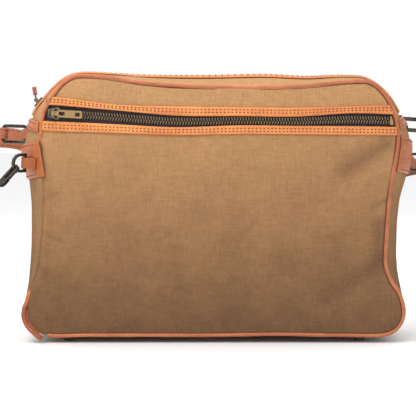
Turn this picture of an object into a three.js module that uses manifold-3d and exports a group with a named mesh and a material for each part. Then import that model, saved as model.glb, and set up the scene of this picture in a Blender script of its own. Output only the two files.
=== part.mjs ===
// Canvas crossbody bag with leather trim, a zipped front pocket and a leather shoulder strap.
// Millimetres, +Z up, the zipped front faces -Y, and the bag stands on four small metal feet.
import * as THREE from "three";
import { mergeVertices } from "three/addons/utils/BufferGeometryUtils.js";
import Module from "manifold-3d";

const wasm = await Module();
wasm.setup();

// Driving sizes of the bag
const panelWidth = 374; // front seam to front seam, at the lower corners
const panelHeight = 254; // bottom seam to top seam
const bagDepth = 100; // front seam to back seam
const seamHeight = 8; // bottom seam above the floor
const frontBelly = 11; // how far the filled front swells
const backBelly = 5;
const sideBulge = 20; // how far the side band swells past its two seams
const canvasWall = 2;
const leatherWall = 1.6;
const gap = 0.3; // running gap between touching pieces
const clothGap = 0.6; // gap over a cloth surface, which has wider facets
const pipingRadius = 2.1;

// Zips
const zipOpening = 11; // width of the slot in the top of the band
const weltWidth = 9.5; // leather strip beside the top zip
const tapeWall = 1;
const tapeTuck = 4; // how far a tape reaches behind the cloth at each side
const chainWidth = 7;
const chainProud = 0.8; // front of the chain before the cloth
const sliderLength = 11.5;
const sliderWidth = 12.4;
const sliderPlate = 1.5;
const pullLength = 28.5;
const pullWidth = 7.4;
const pullPlate = 1.5;
const hingePinRadius = 1;
const endStopLength = 5;

// Side fittings
const crosspieceWidth = 10;
const sidePatchHeight = 35;
const keeperHeight = 13;
const wireRadius = 1.6; // half the thickness of the strap rings' wire
const ringLength = 27; // strap ring, outside, along the strap
const ringHeight = 20;
const ringCorner = 4.4;
const anchorFlap = 8;
const anchorWidth = 10.5;
const dRingHeight = 19;
const dRingReach = 17;
const dRingWire = 2.8;
const hookLength = 28;
const hookWidth = 9.4;
const hookThickness = 4;
const hookWire = 2.3;

// Shoulder strap
const strapWidth = 22;
const strapThickness = 2.6;
const strapTongue = 11.6; // narrowed end that passes through a ring
const strapReach = 272; // how far out the strap turns back
const strapBow = 128; // how far behind the middle of the bag the strap lies
const strapFold = 27; // length of each stitched fold

// Feet
const footRadius = 6;
const footAcross = 145;
const footBack = 33;

// The front and back seams and the swell of the side band between them, clockwise from the top left corner.
// Columns: front across, front up, back across, back up, swell.
// Across is a share of half the panel width, up a share of the panel height, swell a share of sideBulge.
const seamRows = [
  [-0.728, 0.999, -0.74, 1.0, 0.2],
  [-0.597, 0.999, -0.6, 1.003, 0.2],
  [-0.335, 0.972, -0.335, 1.0, 0.28],
  [-0.073, 0.961, -0.07, 0.998, 0.34],
  [0.241, 0.957, 0.24, 0.998, 0.42],
  [0.503, 0.965, 0.5, 1.0, 0.26],
  [0.713, 0.98, 0.7, 1.003, 0.2],
  [0.818, 0.976, 0.8, 0.985, 0.22],
  [0.896, 0.926, 0.89, 0.925, 0.34],
  [0.943, 0.853, 0.93, 0.85, 0.55],
  [0.964, 0.776, 0.945, 0.775, 0.95],
  [0.959, 0.718, 0.945, 0.715, 1.05],
  [0.938, 0.633, 0.945, 0.63, 1.0],
  [0.917, 0.525, 0.945, 0.52, 0.75],
  [0.907, 0.409, 0.945, 0.41, 0.68],
  [0.904, 0.274, 0.95, 0.275, 0.68],
  [0.933, 0.208, 0.96, 0.205, 0.58],
  [0.975, 0.162, 0.97, 0.155, 0.42],
  [1.0, 0.093, 0.97, 0.09, 0.3],
  [0.985, 0.045, 0.955, 0.045, 0.22],
  [0.93, 0.008, 0.91, 0.008, 0.15],
  [0.66, 0.0, 0.65, 0.0, 0.14],
  [0.346, 0.004, 0.34, 0.0, 0.16],
  [0.0, 0.0, 0.0, 0.0, 0.18],
  [-0.335, 0.0, -0.335, 0.0, 0.18],
  [-0.66, 0.0, -0.65, 0.0, 0.14],
  [-0.878, 0.0, -0.87, 0.0, 0.14],
  [-0.93, 0.014, -0.92, 0.012, 0.18],
  [-0.968, 0.042, -0.945, 0.04, 0.24],
  [-0.992, 0.085, -0.965, 0.085, 0.3],
  [-0.985, 0.135, -0.968, 0.13, 0.36],
  [-0.949, 0.208, -0.96, 0.205, 0.5],
  [-0.922, 0.278, -0.95, 0.275, 0.6],
  [-0.905, 0.38, -0.945, 0.375, 0.64],
  [-0.893, 0.5, -0.945, 0.5, 0.7],
  [-0.893, 0.62, -0.945, 0.62, 0.85],
  [-0.901, 0.71, -0.945, 0.71, 1.05],
  [-0.904, 0.775, -0.94, 0.775, 0.9],
  [-0.894, 0.853, -0.925, 0.85, 0.6],
  [-0.865, 0.899, -0.895, 0.905, 0.4],
  [-0.828, 0.941, -0.85, 0.955, 0.28],
  [-0.786, 0.976, -0.8, 0.985, 0.22],
];

// Where the piping has torn off the lower left corner. Columns: across, up, as above.
const tornRows = [
  [-0.997, 0.11],
  [-1.002, 0.075],
  [-0.985, 0.038],
  [-0.948, 0.008],
  [-0.906, -0.017],
];

// Lasting creases of the front. Columns: from across, from up, to across, to up,
// depth as a share of frontBelly, half width as a share of half the panel width.
const creaseRows = [
  [0.597, 0.131, 0.875, 0.27, 0.4, 0.06],
  [0.875, 0.18, 0.865, 0.42, 0.3, 0.05],
  [0.69, 0.64, 0.9, 0.74, 0.25, 0.08],
];

// The front pocket's zip. Columns: across, then up for the upper strip's top and bottom edge
// and for the lower strip's top and bottom edge.
const pocketZipRows = [
  [-1.0, 0.922, 0.894, 0.831, 0.797],
  [-0.84, 0.922, 0.889, 0.828, 0.79],
  [-0.51, 0.892, 0.869, 0.816, 0.782],
  [-0.2, 0.885, 0.849, 0.805, 0.775],
  [0.14, 0.882, 0.847, 0.812, 0.778],
  [0.43, 0.88, 0.845, 0.81, 0.777],
  [0.72, 0.886, 0.858, 0.809, 0.775],
  [1.0, 0.892, 0.852, 0.806, 0.773],
];

// The strap from each ring to the floor behind the bag. Columns: across as a share of strapReach, back as a
// share of strapBow, up as a share of the height of that side's ring, lean of the strap's width from upright.
const strapRows = {
  left: [
    [0.93, 0.235, 0.955, 6],
    [0.98, 0.31, 0.965, 4],
    [1.0, 0.42, 0.975, 0],
    [0.97, 0.53, 0.985, -4],
    [0.9, 0.59, 0.985, -6],
    [0.79, 0.6, 0.98, -8],
    [0.7, 0.6, 0.93, -14],
    [0.58, 0.61, 0.7, -34],
    [0.47, 0.66, 0.35, -62],
    [0.36, 0.76, 0.08, -84],
    [0.24, 0.88, 0, -90],
    [0.1, 0.98, 0, -90],
  ],
  right: [
    [0.935, 0.24, 0.92, 44],
    [0.98, 0.31, 0.89, 28],
    [1.0, 0.42, 0.86, 0],
    [0.97, 0.53, 0.83, -24],
    [0.9, 0.59, 0.81, -38],
    [0.79, 0.6, 0.79, -44],
    [0.7, 0.6, 0.75, -46],
    [0.58, 0.62, 0.58, -54],
    [0.47, 0.67, 0.28, -70],
    [0.36, 0.78, 0.05, -86],
    [0.25, 0.89, 0, -90],
    [0.11, 0.98, 0, -90],
  ],
};

// Colours and finishes
const canvas = { color: 0xb08a5c, roughness: 0.92, metalness: 0 };
const leather = { color: 0xc87844, roughness: 0.6, metalness: 0 };
const strapLeather = { color: 0xa8603c, roughness: 0.55, metalness: 0 };
const tapeCloth = { color: 0x3c3236, roughness: 0.85, metalness: 0 };
const brass = { color: 0x8c7a52, roughness: 0.4, metalness: 1 };
const darkMetal = { color: 0x4a4540, roughness: 0.45, metalness: 1 };

const bag = new THREE.Group();
const vec = (x, y, z) => new THREE.Vector3(x, y, z);

function addMesh(name, geometry, finish, parent = bag) {
  const mesh = new THREE.Mesh(geometry, new THREE.MeshStandardMaterial(finish));
  mesh.name = name;
  parent.add(mesh);
  return mesh;
}

// Booleans on closed geometry
function toSolid(geometry) {
  const bare = geometry.clone();
  bare.deleteAttribute("normal");
  bare.deleteAttribute("uv");
  const merged = mergeVertices(bare, 1e-4);
  return new wasm.Manifold(
    new wasm.Mesh({
      numProp: 3,
      vertProperties: new Float32Array(merged.attributes.position.array),
      triVerts: new Uint32Array(merged.index.array),
    }),
  );
}

function toGeometry(solid) {
  const mesh = solid.getMesh();
  const geometry = new THREE.BufferGeometry();
  geometry.setAttribute("position", new THREE.BufferAttribute(mesh.vertProperties, 3));
  geometry.setIndex(new THREE.BufferAttribute(mesh.triVerts, 1));
  return geometry;
}

const join = (...parts) => toGeometry(parts.map(toSolid).reduce((a, b) => a.add(b)));
const cut = (body, ...tools) => toGeometry(tools.map(toSolid).reduce((a, b) => a.subtract(b), toSolid(body)));
const common = (a, b) => toGeometry(toSolid(a).intersect(toSolid(b)));

// A closed wall between an outer and an inner grid of points; isOpen(i, j) leaves a cell out.
function wallBetween(outer, inner, { around = false, isOpen = () => false } = {}) {
  const columns = outer.length;
  const rows = outer[0].length;
  const cellColumns = around ? columns : columns - 1;
  const positions = [outer, inner].flat(2).flatMap((p) => [p.x, p.y, p.z]);
  const at = (layer, i, j) => layer * columns * rows + (i % columns) * rows + j;
  const filled = (i, j) => {
    const inside = j >= 0 && j < rows - 1 && (around || (i >= 0 && i < cellColumns));
    return inside && !isOpen((i + columns) % columns, j);
  };
  const index = [];
  const quad = (a, b, c, d) => index.push(a, b, c, a, c, d);
  for (let i = 0; i < cellColumns; i++) {
    for (let j = 0; j < rows - 1; j++) {
      if (!filled(i, j)) continue;
      quad(at(0, i, j), at(0, i + 1, j), at(0, i + 1, j + 1), at(0, i, j + 1));
      quad(at(1, i, j), at(1, i, j + 1), at(1, i + 1, j + 1), at(1, i + 1, j));
      if (!filled(i, j - 1)) quad(at(0, i + 1, j), at(0, i, j), at(1, i, j), at(1, i + 1, j));
      if (!filled(i, j + 1)) quad(at(0, i, j + 1), at(0, i + 1, j + 1), at(1, i + 1, j + 1), at(1, i, j + 1));
      if (!filled(i - 1, j)) quad(at(0, i, j), at(0, i, j + 1), at(1, i, j + 1), at(1, i, j));
      if (!filled(i + 1, j)) quad(at(0, i + 1, j + 1), at(0, i + 1, j), at(1, i + 1, j), at(1, i + 1, j + 1));
    }
  }
  const geometry = new THREE.BufferGeometry();
  geometry.setAttribute("position", new THREE.Float32BufferAttribute(positions, 3));
  geometry.setIndex(index);
  return facingOut(geometry);
}

// Turns the faces round where they enclose a negative volume.
function facingOut(geometry) {
  const p = geometry.attributes.position;
  const index = geometry.index.array;
  let volume = 0;
  for (let i = 0; i < index.length; i += 3) {
    const [a, b, c] = [0, 1, 2].map((k) => new THREE.Vector3().fromBufferAttribute(p, index[i + k]));
    volume += a.dot(b.cross(c));
  }
  if (volume < 0) {
    for (let i = 0; i < index.length; i += 3) [index[i + 1], index[i + 2]] = [index[i + 2], index[i + 1]];
  }
  return geometry;
}

// A prism along Y over an outline of [x, z] points.
function prismOver(outline, fromY, toY) {
  const shape = new THREE.Shape(outline.map(([x, z]) => new THREE.Vector2(x, z)));
  const geometry = new THREE.ExtrudeGeometry(shape, { depth: toY - fromY, bevelEnabled: false });
  return geometry.rotateX(Math.PI / 2).translate(0, toY, 0);
}

const plateSegments = 3; // straight runs in a quarter turn

// A plate in the local XY plane, centred on z = 0
function plate(shape, thickness) {
  const options = { depth: thickness, curveSegments: plateSegments, bevelEnabled: false };
  return new THREE.ExtrudeGeometry(shape, options).translate(0, 0, -thickness / 2);
}

function roundedRect(x0, x1, y0, y1, radius, Kind = THREE.Shape) {
  const s = new Kind();
  s.moveTo(x0 + radius, y0);
  s.lineTo(x1 - radius, y0);
  s.absarc(x1 - radius, y0 + radius, radius, -Math.PI / 2, 0);
  s.lineTo(x1, y1 - radius);
  s.absarc(x1 - radius, y1 - radius, radius, 0, Math.PI / 2);
  s.lineTo(x0 + radius, y1);
  s.absarc(x0 + radius, y1 - radius, radius, Math.PI / 2, Math.PI);
  s.lineTo(x0, y0 + radius);
  s.absarc(x0 + radius, y0 + radius, radius, Math.PI, Math.PI * 1.5);
  return s;
}

// Surfaces of the front and the back
const halfWidth = panelWidth / 2;
const acrossToX = (across) => across * halfWidth;
const upToZ = (up) => seamHeight + up * panelHeight;
const zToUp = (z) => (z - seamHeight) / panelHeight;
const pillowPower = 2.6;

function pillow(x, z) {
  const across = Math.min(1, Math.abs(x) / halfWidth);
  const up = Math.min(1, Math.abs(2 * zToUp(z) - 1));
  return (1 - across ** pillowPower) * (1 - up ** pillowPower);
}

function creaseDepth(x, z) {
  const here = new THREE.Vector2(x, z);
  let depth = 0;
  for (const [fromAcross, fromUp, toAcross, toUp, depthShare, widthShare] of creaseRows) {
    const from = new THREE.Vector2(acrossToX(fromAcross), upToZ(fromUp));
    const run = new THREE.Vector2(acrossToX(toAcross), upToZ(toUp)).sub(from);
    const t = THREE.MathUtils.clamp(here.clone().sub(from).dot(run) / run.lengthSq(), 0, 1);
    const away = here.distanceTo(from.addScaledVector(run, t)) / (widthShare * halfWidth);
    depth += depthShare * frontBelly * Math.exp(-away * away);
  }
  return depth;
}

const frontY = (x, z) => -bagDepth / 2 - frontBelly * pillow(x, z) + creaseDepth(x, z);
const backY = (x, z) => bagDepth / 2 + backBelly * pillow(x, z);

// Seams as closed curves through the table's rows; t runs over the rows in both
const seamCurve = (acrossColumn, upColumn) =>
  new THREE.CatmullRomCurve3(
    seamRows.map((row) => vec(acrossToX(row[acrossColumn]), 0, upToZ(row[upColumn]))),
    true,
  );
const frontSeam = seamCurve(0, 1);
const backSeam = seamCurve(2, 3);
const swellCurve = new THREE.CatmullRomCurve3(seamRows.map((row) => vec(row[4] * sideBulge, 0, 0)), true);
const seamSteps = 56;
const swellPower = 0.75; // below 1 the band swells more squarely
const seamParameters = Array.from({ length: seamSteps }, (_, i) => frontSeam.getUtoTmapping(i / seamSteps));
const wrap = (t) => ((t % 1) + 1) % 1;

function seamPoint(curve, surface, t) {
  const p = curve.getPoint(wrap(t));
  return vec(p.x, surface(p.x, p.z), p.z);
}

// A point of the side band: t along the seams, share from the front seam to the back one
function bandSurface(t, share) {
  const point = (s) =>
    seamPoint(frontSeam, frontY, s).lerp(seamPoint(backSeam, backY, s), share);
  const step = 0.002;
  const along = point(t + step).sub(point(t - step));
  const outward = vec(-along.z, 0, along.x).normalize();
  const arch = Math.sin(Math.PI * THREE.MathUtils.clamp(share, 0, 1)) ** swellPower;
  return point(t).addScaledVector(outward, swellCurve.getPoint(wrap(t)).x * arch);
}

function bandPoint(t, share, lift = 0) {
  const dt = 0.004;
  const ds = 0.02;
  const along = bandSurface(t + dt, share).sub(bandSurface(t - dt, share));
  const across = bandSurface(t, Math.min(1, share + ds)).sub(bandSurface(t, Math.max(0, share - ds)));
  const normal = along.cross(across).normalize();
  return bandSurface(t, share).addScaledVector(normal, lift);
}

// The seam parameter on one side (-1 left, +1 right) where the band has height z
const rowParameter = (row) => row / seamRows.length;
const sideRange = { "-1": [rowParameter(41), rowParameter(29)], 1: [rowParameter(8), rowParameter(18)] };
function sideParameter(side, share, z, lift = 0) {
  let [high, low] = sideRange[side];
  for (let i = 0; i < 22; i++) {
    const middle = (high + low) / 2;
    if (bandPoint(middle, share, lift).z > z) high = middle;
    else low = middle;
  }
  return (high + low) / 2;
}
const sidePoint = (side, y, z, lift) => {
  const share = y / bagDepth + 0.5;
  return bandPoint(sideParameter(side, share, z, lift), share, lift);
};

// Front piping, whose lower left end has come off the cloth
const circle = (radius, sides) => {
  const angle = (k) => ((k + 0.5) / sides) * 2 * Math.PI;
  const corner = (k) => new THREE.Vector2(Math.cos(angle(k)), Math.sin(angle(k))).multiplyScalar(radius);
  return new THREE.Shape(Array.from({ length: sides }, (_, k) => corner(k)));
};
const tube = (points, radius, sides, steps) =>
  new THREE.ExtrudeGeometry(circle(radius, sides), {
    steps,
    extrudePath: new THREE.CatmullRomCurve3(points),
    bevelEnabled: false,
  });

const pipingSteps = 82;
const pipingSides = 6;
const pipingInset = canvasWall / 2; // centre of the piping behind the face of the cloth
const bottomBreakRow = 26;
const tornStartRow = 30;
const tornLift = pipingRadius * 0.7; // how far the torn end stands out from the face
function seamRun(curve, surface, fromT, toT, offset, count) {
  return Array.from({ length: count + 1 }, (_, i) => {
    const p = seamPoint(curve, surface, fromT + ((toT - fromT) * i) / count);
    return p.setY(p.y + offset);
  });
}

function frontPiping() {
  // Anticlockwise from the break: along the bottom to the right, up, over the top and down the left side
  const from = rowParameter(bottomBreakRow);
  const sewn = seamRun(frontSeam, frontY, from, rowParameter(tornStartRow) - 1, pipingInset, 96);
  const torn = tornRows.map(([across, up]) => {
    const x = acrossToX(across);
    const z = upToZ(up);
    return vec(x, frontY(x, z) - tornLift, z);
  });
  return tube([...sewn, ...torn], pipingRadius, pipingSides, pipingSteps);
}

function backPiping() {
  const joinRow = 23;
  const joinGap = 0.002;
  const from = rowParameter(joinRow) + joinGap;
  const points = seamRun(backSeam, backY, from, from + 1 - 2 * joinGap, -pipingInset, 72);
  return tube(points, pipingRadius, pipingSides, pipingSteps);
}

addMesh("front_piping", frontPiping(), leather);
addMesh("back_piping", backPiping(), leather);

// Panels of the front and the back, inside their piping
function insetOutline(curve, inset) {
  return seamParameters.map((t) => {
    const p = curve.getPoint(t);
    const along = curve.getPoint(wrap(t + 0.003)).sub(curve.getPoint(wrap(t - 0.003)));
    const inward = vec(along.z, 0, -along.x).normalize();
    p.addScaledVector(inward, inset);
    return [p.x, p.z];
  });
}

const beyond = 1.02; // grids run this share past the panel, and are trimmed to its outline
const spread = (from, to, count) => Array.from({ length: count + 1 }, (_, i) => from + ((to - from) * i) / count);
function facePanel(surface, near, far, columns, rows) {
  const point = (x, z, offset) => vec(x, surface(x, z) + offset, z);
  const xs = spread(acrossToX(-beyond), acrossToX(beyond), columns);
  const zs = spread(upToZ(1 - beyond), upToZ(beyond), rows);
  const grid = (offset) => xs.map((x) => zs.map((z) => point(x, z, offset)));
  return wallBetween(grid(near), grid(far));
}

// A height of the pocket zip at x; column 1 to 4 as in the table
const zipCurves = [1, 2, 3, 4].map((column) =>
  new THREE.CatmullRomCurve3(pocketZipRows.map((row) => vec(acrossToX(row[0]), 0, upToZ(row[column])))),
);
function zipHeight(column, x) {
  const curve = zipCurves[column - 1];
  let low = 0;
  let high = 1;
  for (let i = 0; i < 24; i++) {
    const middle = (low + high) / 2;
    if (curve.getPoint(middle).x < x) low = middle;
    else high = middle;
  }
  return curve.getPoint((low + high) / 2).z;
}

const zipSteps = 24;
const zipStations = spread(acrossToX(-1), acrossToX(1), zipSteps);
const farFront = -bagDepth;
const seamClear = pipingRadius + 1.25; // the piping is made of straight runs, which cut the corners
const frontField = prismOver(insetOutline(frontSeam, seamClear), farFront, 0);
const edgeTuck = 1.5; // how far a cloth edge hides behind its leather strip

function above(column, shift) {
  const line = zipStations.map((x) => [x, zipHeight(column, x) + shift]);
  const top = upToZ(1.1);
  return [...line, [line.at(-1)[0], top], [line[0][0], top]];
}
function below(column, shift) {
  const line = zipStations.map((x) => [x, zipHeight(column, x) + shift]).reverse();
  const bottom = upToZ(-0.1);
  return [...line, [line.at(-1)[0], bottom], [line[0][0], bottom]];
}

const frontCloth = common(facePanel(frontY, 0, canvasWall, 20, 14), frontField);
const upperCloth = common(frontCloth, prismOver(above(2, edgeTuck), farFront, 0));
const lowerCloth = common(frontCloth, prismOver(below(3, -edgeTuck), farFront, 0));
addMesh("front_panel_upper", upperCloth, canvas);
addMesh("front_panel_lower", lowerCloth, canvas);
const backField = prismOver(insetOutline(backSeam, seamClear), 0, bagDepth);
addMesh("back_panel", common(facePanel(backY, -canvasWall, 0, 12, 8), backField), canvas);

// Strips that follow the front face: between two of the zip's lines, from one depth to another
function frontStrip(topLine, bottomLine, near, far, stations = zipStations) {
  const grid = (offset) =>
    stations.map((x) => [bottomLine(x), topLine(x)].map((z) => vec(x, frontY(x, z) + offset, z)));
  return common(wallBetween(grid(near), grid(far)), frontField);
}
const line = (column, shift = 0) => (x) => zipHeight(column, x) + shift;
const weltNear = -clothGap - leatherWall;
addMesh("pocket_welt_upper", frontStrip(line(1), line(2), weltNear, -clothGap), leather);
addMesh("pocket_welt_lower", frontStrip(line(3), line(4), weltNear, -clothGap), leather);
const tapeNear = canvasWall + gap;
const tapeTop = line(2, tapeTuck);
const tapeBottom = line(3, -tapeTuck);
addMesh("pocket_zip_tape", frontStrip(tapeTop, tapeBottom, tapeNear, tapeNear + tapeWall), tapeCloth);

const chainLine = (shift) => (x) => (zipHeight(2, x) + zipHeight(3, x)) / 2 + shift;
const chainNear = -chainProud;
const chainFar = tapeNear - gap;
const chainFrom = acrossToX(-0.866);
const sliderX = chainFrom + sliderLength / 2;
const chainTo = acrossToX(0.945);
const chainStations = spread(chainFrom, chainTo, zipSteps);
const chainStrip = frontStrip(chainLine(chainWidth / 2), chainLine(-chainWidth / 2), chainNear, chainFar, chainStations);
addMesh("pocket_zip_chain", chainStrip, brass);

// End stop at the right end of the pocket zip
const stopFrom = chainTo - endStopLength;
const stopStations = [stopFrom, chainTo];
const stopWall = 1.2;
const stopFar = chainNear - gap;
const stopHalf = chainWidth / 2 + 0.8;
const endStop = frontStrip(chainLine(stopHalf), chainLine(-stopHalf), stopFar - stopWall, stopFar, stopStations);
addMesh("pocket_zip_end_stop", endStop, brass);

// A zip's slider and its hinged pull, in a frame with x along the zip, y across it and z out of the face
const lugGap = pullWidth * 0.62 + 2 * gap; // clear width between the slider's lugs
const lugWidth = 1.6;
const lugLength = 3.4;
const eyeWall = 0.9;
const pinHeight = sliderPlate + hingePinRadius + gap + eyeWall;
// Half of the slider's outline. Columns: share of half its length, share of half its width
const sliderRows = [
  [-1, 0.55],
  [-0.2, 0.8],
  [0.7, 1],
  [1, 0.8],
];
function sliderBody() {
  const halfSize = new THREE.Vector2(sliderLength, sliderWidth).divideScalar(2);
  const edge = (side) => sliderRows.map(([along, across]) => new THREE.Vector2(along, side * across).multiply(halfSize));
  const outline = new THREE.Shape([...edge(-1), ...edge(1).reverse()]);
  const body = plate(outline, sliderPlate).translate(0, 0, sliderPlate / 2);
  const lugTop = pinHeight + hingePinRadius + gap;
  const lugs = [-1, 1].map((side) => {
    const lug = plate(roundedRect(-lugLength / 2, lugLength / 2, 0, lugTop, lugLength / 4), lugWidth);
    return lug.rotateX(Math.PI / 2).translate(0, (side * (lugGap + lugWidth)) / 2, 0);
  });
  const pinSides = 10;
  const pin = new THREE.CylinderGeometry(hingePinRadius, hingePinRadius, lugGap + lugWidth, pinSides);
  pin.translate(0, 0, pinHeight);
  return join(body, ...lugs, pin);
}

// The pull's plate lies along +x from the pin, with an eye that turns on the pin
function pullEye() {
  const eye = new THREE.Shape();
  eye.absarc(0, 0, hingePinRadius + gap + eyeWall, 0, Math.PI * 2);
  const bore = new THREE.Path();
  bore.absarc(0, 0, hingePinRadius + gap, 0, Math.PI * 2);
  eye.holes.push(bore);
  return plate(eye, lugGap - 2 * gap).rotateX(Math.PI / 2);
}
const pullStart = hingePinRadius + gap + eyeWall / 2;
const pullHoleRows = [
  // from and to, as shares of the pull's length
  [0.2, 0.4],
  [0.76, 0.92],
];
const pullHoleHalf = pullWidth / 4;
const neckLength = 3.2; // the pull is narrow here, to pass between the lugs
function longPull() {
  const half = pullWidth / 2;
  const neckHalf = lugGap / 2 - gap;
  const shape = new THREE.Shape();
  shape.moveTo(pullStart, -neckHalf);
  shape.lineTo(pullStart + neckLength, -neckHalf);
  shape.lineTo(pullStart + neckLength, -half);
  shape.absarc(pullLength - half / 2, -half / 2, half / 2, -Math.PI / 2, 0);
  shape.absarc(pullLength - half / 2, half / 2, half / 2, 0, Math.PI / 2);
  shape.lineTo(pullStart + neckLength, half);
  shape.lineTo(pullStart + neckLength, neckHalf);
  shape.lineTo(pullStart, neckHalf);
  for (const [from, to] of pullHoleRows) {
    const corner = pullHoleHalf / 3;
    const hole = roundedRect(from * pullLength, to * pullLength, -pullHoleHalf, pullHoleHalf, corner, THREE.Path);
    shape.holes.push(hole);
  }
  return join(plate(shape, pullPlate), pullEye());
}

function orient(group, origin, alongDirection, outDirection) {
  const x = alongDirection.clone().normalize();
  const z = outDirection.clone().addScaledVector(x, -outDirection.dot(x)).normalize();
  const y = z.clone().cross(x);
  group.applyMatrix4(new THREE.Matrix4().makeBasis(x, y, z).setPosition(origin));
  bag.add(group);
  return group;
}

const onFront = (x, lift) => {
  const z = chainLine(0)(x);
  return vec(x, frontY(x, z) - lift, z);
};
const pocketSlider = new THREE.Group();
const sliderSeat = chainProud + 2 * gap;
const pullRun = onFront(sliderX + pullLength, sliderSeat).sub(onFront(sliderX, sliderSeat));
const frontOut = vec(0, -1, 0);
orient(pocketSlider, onFront(sliderX, sliderSeat), pullRun, frontOut);
addMesh("pocket_slider", sliderBody(), brass, pocketSlider);
addMesh("pocket_pull", longPull().translate(0, 0, pinHeight), brass, pocketSlider);

// Side band of canvas between the two seams, with the main zip's slot along its top
const bandStart = (pipingRadius + gap + pipingInset) / bagDepth;
const slotShare = zipOpening / 2 / bagDepth;
const slotRow = 3;
const frontHalfShares = [bandStart, 0.13, 0.29, 0.5 - slotShare];
const bandShares = [...frontHalfShares, ...frontHalfShares.map((share) => 1 - share).reverse()];
const zipEndHeight = { left: upToZ(0.838), right: upToZ(0.85) };
const zipEnds = {
  left: sideParameter(-1, 0.5, zipEndHeight.left),
  right: sideParameter(1, 0.5, zipEndHeight.right),
};
const bandColumns = [...seamParameters];
const nearest = (t) =>
  bandColumns.reduce((best, value, i) => (Math.abs(value - t) < Math.abs(bandColumns[best] - t) ? i : best), 0);
const slotEndColumn = { left: nearest(zipEnds.left), right: nearest(zipEnds.right) };
bandColumns[slotEndColumn.left] = zipEnds.left;
bandColumns[slotEndColumn.right] = zipEnds.right;
const bandGrid = (lift) => bandColumns.map((t) => bandShares.map((share) => bandPoint(t, share, lift)));
const inSlot = (i, j) => j === slotRow && (i >= slotEndColumn.left || i < slotEndColumn.right);
addMesh("side_band", wallBetween(bandGrid(0), bandGrid(-canvasWall), { around: true, isOpen: inSlot }), canvas);

// A point over the band's flat facets, so that what lies on the band keeps its gap to it
function facetPoint(t, share, lift) {
  const turns = wrap(t);
  let i = bandColumns.findIndex((value) => value > turns + 1e-9);
  i = (i < 0 ? bandColumns.length : i) - 1;
  const next = i + 1 < bandColumns.length ? bandColumns[i + 1] : 1;
  let j = bandShares.findIndex((value) => value > share + 1e-9);
  j = THREE.MathUtils.clamp((j < 0 ? bandShares.length : j) - 1, 0, bandShares.length - 2);
  const u = (turns - bandColumns[i]) / (next - bandColumns[i]);
  const v = (share - bandShares[j]) / (bandShares[j + 1] - bandShares[j]);
  const corner = (di, dj) => bandPoint(bandColumns[(i + di) % bandColumns.length], bandShares[j + dj], lift);
  const [a, c] = [corner(0, 0), corner(1, 1)];
  const third = u >= v ? corner(1, 0) : corner(0, 1);
  const fromA = third.clone().sub(a).multiplyScalar(u >= v ? u : v);
  return a.clone().add(fromA).addScaledVector(c.sub(third), u >= v ? v : u);
}
const facetSide = (side, y, z, lift) => {
  const share = y / bagDepth + 0.5;
  return facetPoint(sideParameter(side, share, z, lift), share, lift);
};

// A patch that lies on the band: t values along it, shares across it, between two lifts
const closest = 0.002; // grid lines nearer than this to a patch's edge are left out
function bandPatch(fromT, toT, fromShare, toShare, lower, upper) {
  const turned = bandColumns.flatMap((t) => [t - 1, t]).sort((a, b) => a - b);
  const ts = [fromT, ...turned.filter((t) => t > fromT + closest && t < toT - closest), toT];
  const inside = bandShares.filter((share) => share > fromShare + closest && share < toShare - closest);
  const shares = [fromShare, ...inside, toShare];
  const grid = (lift) => ts.map((t) => shares.map((share) => facetPoint(t, share, lift)));
  return wallBetween(grid(upper), grid(lower));
}
const topClear = 0.004; // the strips stop this far along the seam before the crosspieces
const topRun = [zipEnds.left - 1 + topClear, zipEnds.right - topClear];
const bandTop = clothGap;
const slotEdge = slotShare - edgeTuck / bagDepth;
const weltOuter = slotShare + weltWidth / bagDepth;
const weltInner = slotEdge + 0.012;
const frontWeltShares = [0.5 - weltOuter, 0.5 - weltInner];
const backWeltShares = [0.5 + weltInner, 0.5 + weltOuter];
addMesh("top_welt_front", bandPatch(...topRun, ...frontWeltShares, bandTop, bandTop + leatherWall), leather);
addMesh("top_welt_back", bandPatch(...topRun, ...backWeltShares, bandTop, bandTop + leatherWall), leather);
const tapeReach = slotShare + tapeTuck / bagDepth;
const topTapeLift = -canvasWall - gap;
addMesh(
  "top_zip_tape",
  bandPatch(...topRun, 0.5 - tapeReach, 0.5 + tapeReach, topTapeLift - tapeWall, topTapeLift),
  tapeCloth,
);
const chainShare = chainWidth / 2 / bagDepth;
addMesh(
  "top_zip_chain",
  bandPatch(...topRun, 0.5 - chainShare, 0.5 + chainShare, topTapeLift + gap, chainProud),
  brass,
);

// Main zip's slider on the left shoulder, with a short metal pull that ends in a leather tab
const topSliderHeight = upToZ(0.9);
const topSliderT = sideParameter(-1, 0.5, topSliderHeight);
const topSliderOrigin = bandPoint(topSliderT, 0.5, bandTop + leatherWall + 2 * gap);
const topSlider = new THREE.Group();
const shoulderOut = bandPoint(topSliderT, 0.5, 1).sub(bandPoint(topSliderT, 0.5, 0));
const shoulderAlong = bandPoint(topSliderT + 0.005, 0.5, 0).sub(bandPoint(topSliderT - 0.005, 0.5, 0));
orient(topSlider, topSliderOrigin, shoulderAlong, shoulderOut);
addMesh("top_slider", sliderBody(), brass, topSlider);
const shortPullLength = 7.4;
const topPullGroup = new THREE.Group();
const topPullLift = 48; // degrees that the pull stands up from the zip
topPullGroup.position.set(0, 0, pinHeight);
topPullGroup.rotation.y = -THREE.MathUtils.degToRad(topPullLift);
topSlider.add(topPullGroup);
const shortPullHalf = lugGap / 2 - gap;
const shortPlate = plate(roundedRect(pullStart, shortPullLength, -shortPullHalf, shortPullHalf, 0.5), pullPlate);
addMesh("top_pull", join(shortPlate, pullEye()), darkMetal, topPullGroup);
const tabLength = 8.5;
const tabOverlap = 2.4;
const tabWall = 1.2;
const tabStart = shortPullLength - tabOverlap;
const tabHalf = 2.6;
const tabBlank = plate(roundedRect(tabStart, tabStart + tabLength, -tabHalf, tabHalf, 1), pullPlate + 2 * tabWall);
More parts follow.
